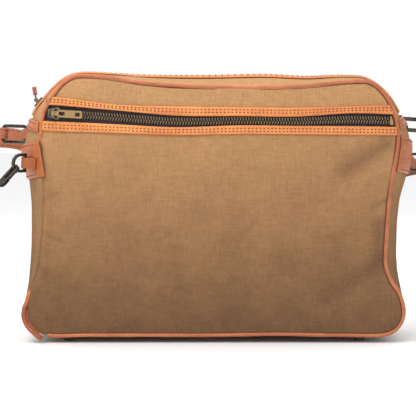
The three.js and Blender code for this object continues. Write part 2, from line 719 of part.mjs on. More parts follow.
const pocketHalf = shortPullHalf + gap;
const tabMouth = tabStart - 1; // the pocket is cut from outside the tab
const pocketShape = roundedRect(tabMouth, shortPullLength + gap, -pocketHalf, pocketHalf, gap);
const tabPocket = plate(pocketShape, pullPlate + 2 * gap);
addMesh("top_pull_tab", cut(tabBlank, tabPocket), strapLeather, topPullGroup);

// Leather across the side band: a crosspiece under each end of the main zip, and a tall patch below it
const patchEdge = 0.004; // share of the depth between a patch's ends and the band's
const patchShares = [bandStart + patchEdge, ...bandShares.slice(1, -1), 1 - bandStart - patchEdge];
const midRise = 5; // how much lower a crosspiece's ends lie than its middle
const patchSag = 4; // how much lower a patch's middle lies than its ends
function sideLeather(side, topMid, height, sag) {
  const edge = (share, down) => {
    const rise = sag * (1 - Math.sin(Math.PI * share));
    return sideParameter(side, share, topMid + rise - down * height);
  };
  const ends = patchShares.map((share) => [edge(share, 0), edge(share, 1)].sort((a, b) => a - b));
  const innerFrom = Math.max(...ends.map(([from]) => from)) + closest;
  const innerTo = Math.min(...ends.map(([, to]) => to)) - closest;
  const inner = bandColumns.filter((t) => t > innerFrom && t < innerTo);
  const grid = (lift) =>
    patchShares.map((share, k) => [ends[k][0], ...inner, ends[k][1]].map((t) => facetPoint(t, share, lift)));
  return wallBetween(grid(clothGap + leatherWall), grid(clothGap));
}
const sides = [
  { word: "left", side: -1 },
  { word: "right", side: 1 },
];
const crosspieceTop = { left: zipEndHeight.left + 1, right: zipEndHeight.right + 1 };
const patchTop = { left: upToZ(0.737), right: upToZ(0.757) };
for (const { word, side } of sides) {
  const crosspiece = sideLeather(side, crosspieceTop[word], crosspieceWidth, -midRise);
  addMesh(`crosspiece_${word}`, crosspiece, leather);
  addMesh(`side_patch_${word}`, sideLeather(side, patchTop[word], sidePatchHeight, patchSag), leather);
}

// A flat band of leather swept along points, with its width direction given at each; ends are square
function ribbon(stations, thickness) {
  const points = stations.map((s) => s.at);
  const tangents = points.map((_, i) =>
    points[Math.min(points.length - 1, i + 1)].clone().sub(points[Math.max(0, i - 1)]).normalize(),
  );
  const corners = stations.map((s, i) => {
    const wide = s.wide.clone().addScaledVector(tangents[i], -s.wide.dot(tangents[i])).normalize();
    const normal = tangents[i].clone().cross(wide);
    return [[-1, -1], [1, -1], [1, 1], [-1, 1]].map(([a, b]) =>
      s.at
        .clone()
        .addScaledVector(wide, (a * s.width) / 2)
        .addScaledVector(normal, (b * thickness) / 2),
    );
  });
  const positions = corners.flat().flatMap((p) => [p.x, p.y, p.z]);
  const index = [];
  const quad = (a, b, c, d) => index.push(a, b, c, a, c, d);
  for (let i = 0; i < corners.length - 1; i++) {
    for (let k = 0; k < 4; k++) {
      const next = (k + 1) % 4;
      quad(4 * i + k, 4 * i + next, 4 * (i + 1) + next, 4 * (i + 1) + k);
    }
  }
  const last = 4 * (corners.length - 1);
  quad(0, 3, 2, 1);
  quad(last, last + 1, last + 2, last + 3);
  const geometry = new THREE.BufferGeometry();
  geometry.setAttribute("position", new THREE.Float32BufferAttribute(positions, 3));
  geometry.setIndex(index);
  return facingOut(geometry);
}

// A leather loop sewn to the band that holds a bar: flap, round the bar, flap. It sits at y and z of one side,
// on a surface with the lift base, and bar is the bar's direction.
const flapGap = 0.85; // a flap is straight where the band under it is crowned
const squareReach = 1.36; // corner of a square wire from its middle, over half its side
const loopShoulder = 1.2; // from the bend round the bar to the flap's start
function barLoop({ side, y, z, base, bar, flap, width, barRadius }) {
  const centre = sidePoint(side, y, z, base);
  const out = sidePoint(side, y, z, base + 1).sub(centre).normalize();
  const wide = bar.clone().addScaledVector(out, -bar.dot(out)).normalize();
  const sideways = out.clone().cross(wide).normalize();
  const bend = barRadius + gap + leatherWall / 2;
  const barLift = leatherWall + bend + flapGap;
  const flapPoint = (offset) => {
    const foot = centre.clone().addScaledVector(out, -base).addScaledVector(sideways, offset);
    return facetSide(side, foot.y, foot.z, base + leatherWall / 2 + flapGap);
  };
  const arc = spread(0, Math.PI, 6).map((angle) =>
    centre
      .clone()
      .addScaledVector(out, barLift + Math.sin(angle) * bend)
      .addScaledVector(sideways, -Math.cos(angle) * bend),
  );
  const inner = bend + loopShoulder;
  const path = [flapPoint(-inner - flap), flapPoint(-inner - flap / 2), flapPoint(-inner)];
  path.push(...arc, flapPoint(inner), flapPoint(inner + flap / 2), flapPoint(inner + flap));
  const stations = path.map((at) => ({ at, wide, width }));
  return { geometry: ribbon(stations, leatherWall), centre: centre.addScaledVector(out, barLift), out, wide };
}

// A closed frame of flat wire in the local XY plane, with x out of its straight bar at x = 0
function strapRing() {
  const x0 = -wireRadius;
  const shape = roundedRect(x0, x0 + ringLength, -ringHeight / 2, ringHeight / 2, ringCorner);
  const wire = 2 * wireRadius;
  const inner = [x0 + wire, x0 + ringLength - wire, -ringHeight / 2 + wire, ringHeight / 2 - wire];
  shape.holes.push(roundedRect(...inner, ringCorner - wire, THREE.Path));
  return plate(shape, wire);
}

const bowStart = dRingReach * 0.4; // where the D-ring's straight ends meet its bow
function dRing() {
  const half = dRingHeight / 2;
  const wire = dRingWire;
  const bow = (Kind, inset) => {
    const s = new Kind();
    const x0 = -wire / 2 + inset;
    s.moveTo(x0, -half + inset);
    s.lineTo(bowStart, -half + inset);
    s.absellipse(bowStart, 0, dRingReach - bowStart - wire / 2 - inset, half - inset, -Math.PI / 2, Math.PI / 2);
    s.lineTo(x0, half - inset);
    return s;
  };
  const shape = bow(THREE.Shape, 0);
  shape.holes.push(bow(THREE.Path, wire));
  return plate(shape, wire);
}

// Strap rings in their anchors at the two sides
const anchorRows = {
  left: { side: -1, y: 24, z: upToZ(0.78), base: 0.9, lean: 10, dip: 12 },
  right: { side: 1, y: 24, z: upToZ(0.822), base: clothGap + leatherWall + 0.55, lean: 46, dip: 20 },
};
const outerBars = {};
for (const { word } of sides) {
  const { side, y, z, base, lean, dip } = anchorRows[word];
  const tilt = THREE.MathUtils.degToRad(lean);
  const bar = vec(0, Math.sin(tilt), Math.cos(tilt));
  const barRadius = wireRadius * squareReach;
  const loop = barLoop({ side, y, z, base, bar, flap: anchorFlap, width: anchorWidth, barRadius });
  addMesh(`strap_anchor_${word}`, loop.geometry, strapLeather);
  const away = vec(side * Math.cos(THREE.MathUtils.degToRad(dip)), 0, -Math.sin(THREE.MathUtils.degToRad(dip)));
  away.addScaledVector(loop.wide, -away.dot(loop.wide)).normalize();
  const ring = new THREE.Group();
  orient(ring, loop.centre, away, away.clone().cross(loop.wide));
  addMesh(`strap_ring_${word}`, strapRing(), darkMetal, ring);
  const reach = ringLength - 2 * wireRadius;
  outerBars[word] = { centre: loop.centre.clone().addScaledVector(away, reach), away, wide: loop.wide, side };
}

// Shoulder strap: one end folds round each ring's outer bar, and the rest passes behind the bag
// The fold's centre line. Columns: out as a share of strapFold, offset as a share of the bend round the bar.
const foldRows = [
  [1.0, -0.42],
  [0.62, -0.44],
  [0.28, -0.8],
  [0.1, -0.98],
];
function strapHalf(word) {
  const { centre, away, wide, side } = outerBars[word];
  const normal = away.clone().cross(wide);
  const bend = wireRadius * squareReach + gap + strapThickness / 2;
  const local = (out, off) => centre.clone().addScaledVector(away, out).addScaledVector(normal, off * side);
  const folded = (sign) => foldRows.map(([out, off]) => local(out * strapFold, sign * off * bend));
  const arc = spread(-Math.PI / 2, Math.PI / 2, 6).map((a) => local(-Math.cos(a) * bend, Math.sin(a) * bend));
  const narrow = (at) => ({ at, wide, width: strapTongue });
  const tail = folded(1).map(narrow);
  tail[0].width *= 0.8;
  const round = arc.map(narrow);
  const main = folded(-1).reverse().map(narrow);
  main[2].width += 2;
  main[3].width += 4;
  const route = strapRows[word].map(([across, back, up]) =>
    vec(side * across * strapReach, back * strapBow, Math.max(up * anchorRows[word].z, strapThickness / 2)),
  );
  return { start: [...tail, ...round, ...main], route, side };
}

function routeStations(half, word) {
  const from = half.start.at(-1).at;
  const curve = new THREE.CatmullRomCurve3([half.start.at(-2).at, from, ...half.route], false, "centripetal");
  const ringLean = anchorRows[word].lean;
  const leans = [ringLean, ringLean, ...strapRows[word].map((row) => row[3])];
  const count = leans.length - 1;
  const stations = [];
  for (let i = 1; i < count; i++) {
    for (const part of [0.5, 1]) {
      const t = (i + part) / count;
      const at = curve.getPoint(t);
      const tangent = curve.getTangent(t);
      const lean = THREE.MathUtils.degToRad(leans[i] + (leans[i + 1] - leans[i]) * part);
      const upright = vec(0, 0, 1).addScaledVector(tangent, -tangent.z).normalize();
      const level = tangent.clone().cross(upright);
      const wide = upright.multiplyScalar(Math.cos(lean));
      wide.addScaledVector(level, Math.sin(lean) * -half.side);
      at.z = Math.max(at.z, (Math.abs(wide.z) * strapWidth + strapThickness) / 2);
      stations.push({ at, wide, width: i === 1 && part < 1 ? strapWidth - 2 : strapWidth });
    }
  }
  return stations;
}

const leftHalf = strapHalf("left");
const rightHalf = strapHalf("right");
const leftStations = [...leftHalf.start, ...routeStations(leftHalf, "left")];
const rightStations = [...rightHalf.start, ...routeStations(rightHalf, "right")];
const middle = { at: vec(0, strapBow, strapThickness / 2), wide: vec(0, 1, 0), width: strapWidth };
const strapStations = [...leftStations, middle, ...rightStations.reverse()];
addMesh("shoulder_strap", ribbon(strapStations, strapThickness), strapLeather);

// D-rings in rolled leather keepers on the side patches
const keeperRows = {
  left: { side: -1, y: -36, z: upToZ(0.668), lean: -14, swing: -0.35, flap: 5 },
  right: { side: 1, y: 16, z: upToZ(0.668), lean: 6, swing: 0.2, flap: 6 },
};
const dRings = {};
for (const { word } of sides) {
  const { side, y, z, lean, swing, flap } = keeperRows[word];
  const tilt = THREE.MathUtils.degToRad(lean);
  const loop = barLoop({
    side,
    y,
    z,
    base: clothGap + leatherWall + gap,
    bar: vec(side * Math.sin(tilt), 0, Math.cos(tilt)),
    flap,
    width: keeperHeight - 2.4,
    barRadius: (dRingWire / 2) * squareReach,
  });
  addMesh(`d_ring_keeper_${word}`, loop.geometry, leather);
  const away = loop.out.clone().addScaledVector(vec(0, 1, 0), swing).normalize();
  away.addScaledVector(loop.wide, -away.dot(loop.wide)).normalize();
  const group = new THREE.Group();
  orient(group, loop.centre, away, away.clone().cross(loop.wide));
  addMesh(`d_ring_${word}`, dRing(), darkMetal, group);
  dRings[word] = { centre: loop.centre, away, wide: loop.wide };
}

// Snap hook that hangs from the left D-ring: y up the hook, opening on its +x side, closed by a sprung gate
const hookShank = hookLength * 0.32; // solid length below the hook's hole
const mouthFrom = hookShank + 1.2;
const mouthTo = hookLength * 0.7;
function hookBody() {
  const half = hookWidth / 2;
  const shape = roundedRect(-half, half, 0, hookLength, half * 0.95);
  const inside = half - hookWire;
  shape.holes.push(roundedRect(-inside, inside, hookShank, hookLength - hookWire, inside * 0.95, THREE.Path));
  const mouth = roundedRect(inside / 4, half + 2, mouthFrom, mouthTo, gap);
  return cut(plate(shape, hookThickness), plate(mouth, hookThickness + 2));
}
function hookGate() {
  const half = hookWidth / 2;
  const gateThickness = hookThickness * 0.7;
  return plate(roundedRect(half - hookWire, half, mouthFrom + gap, mouthTo - gap, 0.5), gateThickness);
}
// It hangs from the lower outer quarter of the ring, square to the wire there
const dLeft = dRings.left;
const hangAngle = THREE.MathUtils.degToRad(-45);
const bowOut = dRingReach - bowStart - dRingWire;
const bowUp = (dRingHeight - dRingWire) / 2;
const inRing = (out, up) => dLeft.away.clone().multiplyScalar(out).addScaledVector(dLeft.wide, up);
const wirePoint = inRing(bowStart + bowOut * Math.cos(hangAngle), bowUp * Math.sin(hangAngle)).add(dLeft.centre);
const hookFace = inRing(-bowOut * Math.sin(hangAngle), bowUp * Math.cos(hangAngle)).normalize();
const ringNormal = dLeft.away.clone().cross(dLeft.wide).normalize();
const hookUp = hookFace.clone().cross(ringNormal);
if (hookUp.z < 0) hookUp.negate();
const hookX = hookUp.clone().cross(hookFace).normalize();
const hookTopInside = hookLength - hookWire - (dRingWire / 2) * squareReach - gap;
const hookOrigin = wirePoint.addScaledVector(hookUp, -hookTopInside);
const hookGroup = new THREE.Group();
hookGroup.applyMatrix4(new THREE.Matrix4().makeBasis(hookX, hookUp, hookFace).setPosition(hookOrigin));
bag.add(hookGroup);
addMesh("snap_hook", hookBody(), darkMetal, hookGroup);
addMesh("snap_hook_gate", hookGate(), darkMetal, hookGroup);

// Feet: shallow domes with a flat underside, under the band's lower face
// Profile of a foot. Columns: out as a share of footRadius, up as a share of its height
const footRows = [
  [0, 0],
  [0.7, 0],
  [1, 0.75],
  [0.9, 1],
  [0, 1],
];
const footSides = 10;
const footEnds = [
  ["front", -footBack],
  ["back", footBack],
];
for (const { word, side } of sides) {
  for (const [endWord, y] of footEnds) {
    const x = side * footAcross;
    const share = y / bagDepth + 0.5;
    const overFoot = spread(rowParameter(20), rowParameter(27), 60)
      .flatMap((t) => [-1, 0, 1].map((k) => facetPoint(t, share + (k * footRadius) / bagDepth, 0)))
      .filter((p) => Math.abs(p.x - x) < footRadius + 2);
    const height = Math.min(...overFoot.map((p) => p.z)) - gap;
    const profile = footRows.map(([out, up]) => new THREE.Vector2(out * footRadius, up * height));
    const foot = new THREE.LatheGeometry(profile, footSides).rotateX(Math.PI / 2).translate(x, y, 0);
    addMesh(`foot_${endWord}_${word}`, foot, brass);
  }
}

// The origin is under the middle of the whole, on the floor
bag.updateMatrixWorld(true);
const box = new THREE.Box3().setFromObject(bag, true);
const shift = box.getCenter(vec(0, 0, 0));
bag.position.set(-shift.x, -shift.y, -box.min.z);

export default bag;
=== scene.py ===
"""Looks of a canvas crossbody bag with leather trim: meshes, finishes, camera, light and floor.

Sizes are in millimetres in the bag's own frame (+Z up, the zipped front faces -Y) and are turned into
the model's metres when a mesh is made.
"""

from __future__ import annotations

import logging
import math
from dataclasses import dataclass, field
from enum import Enum
from typing import Callable, Sequence

import bpy
import numpy as np
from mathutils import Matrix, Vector, noise


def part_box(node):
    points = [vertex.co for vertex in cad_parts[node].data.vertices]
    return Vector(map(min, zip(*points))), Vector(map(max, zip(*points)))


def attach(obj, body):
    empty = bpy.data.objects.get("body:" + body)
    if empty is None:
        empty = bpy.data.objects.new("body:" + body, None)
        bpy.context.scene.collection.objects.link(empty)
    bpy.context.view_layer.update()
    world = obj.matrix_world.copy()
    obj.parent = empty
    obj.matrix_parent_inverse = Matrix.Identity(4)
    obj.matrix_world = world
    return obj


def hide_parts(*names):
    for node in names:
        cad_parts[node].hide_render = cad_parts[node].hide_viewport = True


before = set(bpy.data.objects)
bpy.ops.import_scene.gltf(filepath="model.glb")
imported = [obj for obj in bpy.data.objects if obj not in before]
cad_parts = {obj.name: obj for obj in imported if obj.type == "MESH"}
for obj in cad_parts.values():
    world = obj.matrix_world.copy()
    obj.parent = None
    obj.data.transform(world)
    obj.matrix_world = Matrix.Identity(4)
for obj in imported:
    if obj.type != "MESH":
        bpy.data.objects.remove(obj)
log = logging.getLogger("bag")
Array = np.ndarray
Line = Callable[[Array], Array]

PANEL_WIDTH = 374.0
PANEL_HEIGHT = 254.0
BAG_DEPTH = 100.0
SEAM_HEIGHT = 8.0
FRONT_BELLY = 11.0
BACK_BELLY = 5.0
SIDE_BULGE = 20.0
CANVAS_WALL = 2.0
LEATHER_WALL = 1.6
GAP = 0.3
CLOTH_GAP = 0.6
PIPING_RADIUS = 2.1
HALF_WIDTH = PANEL_WIDTH / 2
FOOT_ACROSS = 145.0
FOOT_BACK = 33.0
# The seam rows at the corners of a panel.
TOP_RIGHT_ROW = 8
BOTTOM_RIGHT_ROW = 19
BOTTOM_LEFT_ROW = 28
TOP_LEFT_ROW = 40

# Columns: front across, front up, back across, back up, swell; clockwise from the top left corner.
SEAM_ROWS = (
    (-0.728, 0.999, -0.74, 1.0, 0.2),
    (-0.597, 0.999, -0.6, 1.003, 0.2),
    (-0.335, 0.972, -0.335, 1.0, 0.28),
    (-0.073, 0.961, -0.07, 0.998, 0.34),
    (0.241, 0.957, 0.24, 0.998, 0.42),
    (0.503, 0.965, 0.5, 1.0, 0.26),
    (0.713, 0.98, 0.7, 1.003, 0.2),
    (0.818, 0.976, 0.8, 0.985, 0.22),
    (0.896, 0.926, 0.89, 0.925, 0.34),
    (0.943, 0.853, 0.93, 0.85, 0.55),
    (0.964, 0.776, 0.945, 0.775, 0.95),
    (0.959, 0.718, 0.945, 0.715, 1.05),
    (0.938, 0.633, 0.945, 0.63, 1.0),
    (0.917, 0.525, 0.945, 0.52, 0.75),
    (0.907, 0.409, 0.945, 0.41, 0.68),
    (0.904, 0.274, 0.95, 0.275, 0.68),
    (0.933, 0.208, 0.96, 0.205, 0.58),
    (0.975, 0.162, 0.97, 0.155, 0.42),
    (1.0, 0.093, 0.97, 0.09, 0.3),
    (0.985, 0.045, 0.955, 0.045, 0.22),
    (0.93, 0.008, 0.91, 0.008, 0.15),
    (0.66, 0.0, 0.65, 0.0, 0.14),
    (0.346, 0.004, 0.34, 0.0, 0.16),
    (0.0, 0.0, 0.0, 0.0, 0.18),
    (-0.335, 0.0, -0.335, 0.0, 0.18),
    (-0.66, 0.0, -0.65, 0.0, 0.14),
    (-0.878, 0.0, -0.87, 0.0, 0.14),
    (-0.93, 0.014, -0.92, 0.012, 0.18),
    (-0.968, 0.042, -0.945, 0.04, 0.24),
    (-0.992, 0.085, -0.965, 0.085, 0.3),
    (-0.985, 0.135, -0.968, 0.13, 0.36),
    (-0.949, 0.208, -0.96, 0.205, 0.5),
    (-0.922, 0.278, -0.95, 0.275, 0.6),
    (-0.905, 0.38, -0.945, 0.375, 0.64),
    (-0.893, 0.5, -0.945, 0.5, 0.7),
    (-0.893, 0.62, -0.945, 0.62, 0.85),
    (-0.901, 0.71, -0.945, 0.71, 1.05),
    (-0.904, 0.775, -0.94, 0.775, 0.9),
    (-0.894, 0.853, -0.925, 0.85, 0.6),
    (-0.865, 0.899, -0.895, 0.905, 0.4),
    (-0.828, 0.941, -0.85, 0.955, 0.28),
    (-0.786, 0.976, -0.8, 0.985, 0.22),
)
# Where the piping has come off the lower left corner. Columns: across, up.
TORN_ROWS = ((-0.997, 0.11), (-1.002, 0.075), (-0.985, 0.038), (-0.948, 0.008), (-0.906, -0.017))
# Lasting creases. Columns: from across, from up, to across, to up, depth, half width.
CREASE_ROWS = (
    (0.597, 0.131, 0.875, 0.27, 0.4, 0.06),
    (0.875, 0.18, 0.865, 0.42, 0.3, 0.05),
    (0.69, 0.64, 0.9, 0.74, 0.25, 0.08),
)
# Short puckers at the left edge, too fine for the source. Columns as above.
PUCKER_ROWS = (
    (-0.9, 0.4, -0.8, 0.365, 0.16, 0.018),
    (-0.91, 0.27, -0.865, 0.21, 0.14, 0.016),
    (-0.89, 0.52, -0.82, 0.55, 0.1, 0.02),
    (0.9, 0.52, 0.83, 0.49, 0.1, 0.02),
)
# The pocket zip. Columns: across, upper strip's top and bottom, lower strip's top and bottom.
ZIP_ROWS = (
    (-1.0, 0.922, 0.894, 0.831, 0.797),
    (-0.84, 0.922, 0.889, 0.828, 0.79),
    (-0.51, 0.892, 0.869, 0.816, 0.782),
    (-0.2, 0.885, 0.849, 0.805, 0.775),
    (0.14, 0.882, 0.847, 0.812, 0.778),
    (0.43, 0.88, 0.845, 0.81, 0.777),
    (0.72, 0.886, 0.858, 0.809, 0.775),
    (1.0, 0.892, 0.852, 0.806, 0.773),
)
STRAP_ROWS = {
    "left": (
        (0.93, 0.235, 0.955, 6),
        (0.98, 0.31, 0.965, 4),
        (1.0, 0.42, 0.975, 0),
        (0.97, 0.53, 0.985, -4),
        (0.9, 0.59, 0.985, -6),
        (0.79, 0.6, 0.98, -8),
        (0.7, 0.6, 0.93, -14),
        (0.58, 0.61, 0.7, -34),
        (0.47, 0.66, 0.35, -62),
        (0.36, 0.76, 0.08, -84),
        (0.24, 0.88, 0, -90),
        (0.1, 0.98, 0, -90),
    ),
    "right": (
        (0.935, 0.24, 0.92, 44),
        (0.98, 0.31, 0.89, 28),
        (1.0, 0.42, 0.86, 0),
        (0.97, 0.53, 0.83, -24),
        (0.9, 0.59, 0.81, -38),
        (0.79, 0.6, 0.79, -44),
        (0.7, 0.6, 0.75, -46),
        (0.58, 0.62, 0.58, -54),
        (0.47, 0.67, 0.28, -70),
        (0.36, 0.78, 0.05, -86),
        (0.25, 0.89, 0, -90),
        (0.11, 0.98, 0, -90),
    ),
}
# Where the strap's rings hang. Columns: back, up, lift over the cloth, lean and dip in degrees.
RING_ROWS = {"left": (24, 0.78, 0.9, 10, 12), "right": (24, 0.822, 2.75, 46, 20)}
# The strap's fold over a ring's bar. Columns: outwards and off the middle, as shares.
FOLD_ROWS = ((1.0, -0.42), (0.62, -0.44), (0.28, -0.8), (0.1, -0.98))


def catmull(points: Array, t: Array, closed: bool) -> Array:
    """Reads a centripetal Catmull-Rom curve.

    Args:
        points: the rows that the curve passes, one point a row.
        t: shares of the way along, counted in rows.
        closed: whether the curve joins its start.

    Returns:
        One point for each t.
    """
    pts = np.asarray(points, float)
    t = np.asarray(t, float)
    count = len(pts)
    if closed:
        place = (t % 1.0) * count
        i = np.floor(place).astype(int)
        a, b, c, d = (pts[(i + k) % count] for k in (-1, 0, 1, 2))
    else:
        place = np.clip(t, 0, 1) * (count - 1)
        i = np.minimum(np.floor(place).astype(int), count - 2)
        ends = np.vstack([2 * pts[0] - pts[1], pts, 2 * pts[-1] - pts[-2]])
        a, b, c, d = (ends[i + k] for k in range(4))
    w = (place - i)[..., None]
    spans = [np.linalg.norm(q - p, axis=-1, keepdims=True) for p, q in ((a, b), (b, c), (c, d))]
    d0, d1, d2 = (np.maximum(span, 1e-8) ** 0.5 for span in spans)
    m1 = ((b - a) / d0 - (c - a) / (d0 + d1) + (c - b) / d1) * d1
    m2 = ((c - b) / d1 - (d - b) / (d1 + d2) + (d - c) / d2) * d1
    c2 = -3 * b + 3 * c - 2 * m1 - m2
    c3 = 2 * b - 2 * c + m1 + m2
    return b + m1 * w + c2 * w**2 + c3 * w**3


def unit(v: Array) -> Array:
    """Vectors of length one, along the last axis."""
    return v / np.maximum(np.linalg.norm(v, axis=-1, keepdims=True), 1e-12)


def resample(points: Array, count: int) -> Array:
    """Points at even distances along a polyline.

    Args:
        points: the polyline.
        count: how many points to return.

    Returns:
        An array of count points.
    """
    steps = np.linalg.norm(np.diff(points, axis=0), axis=1)
    along = np.concatenate([[0.0], np.cumsum(steps)])
    wanted = np.linspace(0, along[-1], count)
    return np.stack([np.interp(wanted, along, points[:, k]) for k in range(points.shape[1])], axis=1)


def ripple(x: Array, z: Array, scale: float, seed: float) -> Array:
    """Smooth noise from -1 to 1 over a surface.

    Args:
        x: first coordinate in millimetres.
        z: second coordinate in millimetres.
        scale: size of a ripple in millimetres.
        seed: shifts the pattern.

    Returns:
        Noise at each point.
    """
    flat = np.stack([np.ravel(x) / scale, np.ravel(z) / scale], axis=1)
    values = [noise.noise(Vector((p[0] + seed, p[1] - seed, seed * 0.37))) for p in flat]
    return np.array(values).reshape(np.shape(x))


class Side(Enum):
    """One of the bag's two ends."""

    LEFT = -1
    RIGHT = 1

    @property
    def word(self) -> str:
        """The word used in piece names."""
        return self.name.lower()


@dataclass
class BagShape:
    """The bag's main surfaces, from the seam rows."""

    seam_rows: Array = field(default_factory=lambda: np.array(SEAM_ROWS))
    swell_power: float = 0.75
    pillow_power: float = 2.6

    def __post_init__(self) -> None:
        """Turns the rows' shares into millimetres."""
        across_up = lambda a, b: np.stack(
            [self.seam_rows[:, a] * HALF_WIDTH, self.height(self.seam_rows[:, b])], axis=1
        )
        self.front_rows = across_up(0, 1)
        self.back_rows = across_up(2, 3)
        self.swell_rows = self.seam_rows[:, 4:5] * SIDE_BULGE
        zip_rows = np.array(ZIP_ROWS)
        self.zip_x = zip_rows[:, 0] * HALF_WIDTH
        t = np.linspace(0, 1, 400)
        self.zip_lines = []
        for column in range(1, 5):
            line = catmull(np.stack([self.zip_x, self.height(zip_rows[:, column])], axis=1), t, False)
            self.zip_lines.append(line)

    @staticmethod
    def height(up: Array | float) -> Array | float:
        """Millimetres above the floor of a share of the panel's height."""
        return SEAM_HEIGHT + up * PANEL_HEIGHT

    def zip_height(self, column: int, x: Array) -> Array:
        """Height of one of the pocket zip's four lines at x."""
        line = self.zip_lines[column - 1]
        return np.interp(x, line[:, 0], line[:, 1])

    def pillow(self, x: Array, z: Array) -> Array:
        """How far a filled panel swells, from 0 at its edges to 1.

        Args:
            x: places across, in millimetres.
            z: heights in millimetres.

        Returns:
            The share at each point.
        """
        across = np.minimum(1, np.abs(x) / HALF_WIDTH)
        up = np.minimum(1, np.abs(2 * (z - SEAM_HEIGHT) / PANEL_HEIGHT - 1))
        return (1 - across**self.pillow_power) * (1 - up**self.pillow_power)

    def crease(self, x: Array, z: Array) -> Array:
        """Depth of the lasting creases at each point, in millimetres.

        Args:
            x: places across, in millimetres.
            z: heights in millimetres.

        Returns:
            The depths.
        """
        depth = np.zeros(np.shape(x))
        here = np.stack([x, z], axis=-1)
        for fa, fu, ta, tu, deep, wide in (*CREASE_ROWS, *PUCKER_ROWS):
            start = np.array([fa * HALF_WIDTH, self.height(fu)])
            run = np.array([ta * HALF_WIDTH, self.height(tu)]) - start
            t = np.clip(((here - start) @ run) / (run @ run), 0, 1)
            away = np.linalg.norm(here - (start + t[..., None] * run), axis=-1) / (wide * HALF_WIDTH)
            depth += deep * FRONT_BELLY * np.exp(-(away**2))
        return depth

    def front_y(self, x: Array, z: Array) -> Array:
        """The front face."""
        return -BAG_DEPTH / 2 - FRONT_BELLY * self.pillow(x, z) + self.crease(x, z)

    def back_y(self, x: Array, z: Array) -> Array:
        """The back face."""
        return BAG_DEPTH / 2 + BACK_BELLY * self.pillow(x, z)

    def rolled_over(self, x: Array, z: Array) -> Array:
        """Where the left edge's canvas has rolled over the piping, from 0 to 1.

        Args:
            x: places across, in millimetres.
            z: heights in millimetres.

        Returns:
            The share at each point.
        """
        above = np.clip((z - 47) / 14, 0, 1)
        below = np.clip((204 - z) / 12, 0, 1)
        share = above * below * (x < -120)
        return share * share * (3 - 2 * share)

    def seam(self, t: Array, back: bool = False) -> Array:
        """Points of the front or the back seam.

        Args:
            t: shares of the way round, counted in rows.
            back: whether the back seam is meant.

        Returns:
            Points in the bag's frame.
        """
        flat = catmull(self.back_rows if back else self.front_rows, t, True)
        surface = self.back_y if back else self.front_y
        x, z = flat[..., 0], flat[..., 1]
        return np.stack([x, surface(x, z), z], axis=-1)

    def band_surface(self, t: Array, share: Array) -> Array:
        """Points of the side band, t along the seams and share from front to back.

        Args:
            t: shares of the way round the seams.
            share: shares of the way from the front seam to the back one.

        Returns:
            Points in the bag's frame.
        """
        share = np.asarray(share, float)[..., None]
        point = lambda s: self.seam(s) * (1 - share) + self.seam(s, True) * share
        along = point(t + 0.002) - point(t - 0.002)
        outward = unit(np.stack([-along[..., 2], np.zeros(along.shape[:-1]), along[..., 0]], axis=-1))
        arch = np.sin(np.pi * np.clip(share, 0, 1)) ** self.swell_power
        return point(t) + outward * catmull(self.swell_rows, t, True) * arch

    def band(self, t: Array, share: Array, lift: Array | float = 0.0) -> Array:
        """Points of the side band lifted along its outward normal.

        Args:
            t: shares of the way round the seams.
            share: shares of the way from the front seam to the back one.
            lift: height over the cloth in millimetres.

        Returns:
            Points in the bag's frame.
        """
        t, share, lift = np.broadcast_arrays(
            np.asarray(t, float), np.asarray(share, float), np.asarray(lift, float)
        )
        along = self.band_surface(t + 0.004, share) - self.band_surface(t - 0.004, share)
        across = self.band_surface(
            t, np.minimum(1, share + 0.02)
        ) - self.band_surface(t, np.maximum(0, share - 0.02))
        normal = unit(np.cross(along, across))
        return self.band_surface(t, share) + normal * lift[..., None]

    def side_parameter(self, side: Side, share: float, z: float, lift: float = 0.0) -> float:
        """Where one side of the band has the height z.

        Args:
            side: which end.
            share: share of the way from front to back.
            z: height in millimetres.
            lift: height over the cloth.

        Returns:
            The share of the way round the seams.
        """
        rows = len(self.seam_rows)
        high, low = (41 / rows, 29 / rows) if side is Side.LEFT else (8 / rows, 18 / rows)
        for _ in range(22):
            middle = (high + low) / 2
            if self.band(np.array([middle]), np.array([share]), lift)[0, 2] > z:
                high = middle
            else:
                low = middle
        return (high + low) / 2

    def side_point(self, side: Side, y: float, z: float, lift: float) -> Array:
        """The point of one side at y and z, at a lift over the cloth.

        Args:
            side: which end.
            y: place from front to back.
            z: height in millimetres.
            lift: height over the cloth.

        Returns:
            The point in the bag's frame.
        """
        share = y / BAG_DEPTH + 0.5
        t = self.side_parameter(side, share, z, lift)
        return self.band(np.array([t]), np.array([share]), lift)[0]

    def seam_at_line(self, column: int, side: Side, shift: float = 0.0) -> float:
        """Where the front seam meets a line of the pocket zip.

        Args:
            column: which of the zip's four lines.
            side: which end.
            shift: millimetres above that line.

        Returns:
            The share of the way round the seams.
        """
        rows = len(self.seam_rows)
        high, low = (40 / rows, 34 / rows) if side is Side.LEFT else (8 / rows, 13 / rows)
        for _ in range(30):
            middle = (high + low) / 2
            point = self.seam(np.array([middle]))[0]
            if point[2] > self.zip_height(column, point[0]) + shift:
                high = middle
            else:
                low = middle
        return (high + low) / 2


def row_share(row: float) -> float:
    """Share of the way round the seams at a row."""
    return row / len(SEAM_ROWS)


@dataclass(frozen=True)
class Mesh:
    """A mesh before it becomes an object: vertices in millimetres and faces as vertex numbers."""

    vertices: Array
    faces: list

    def joined(self, other: "Mesh") -> "Mesh":
        """This mesh and another as one.

        Args:
            other: the mesh to add.

        Returns:
            Both meshes as one.
        """
        shift = len(self.vertices)
        moved = [tuple(i + shift for i in face) for face in other.faces]
        return Mesh(np.vstack([self.vertices, other.vertices]), self.faces + moved)


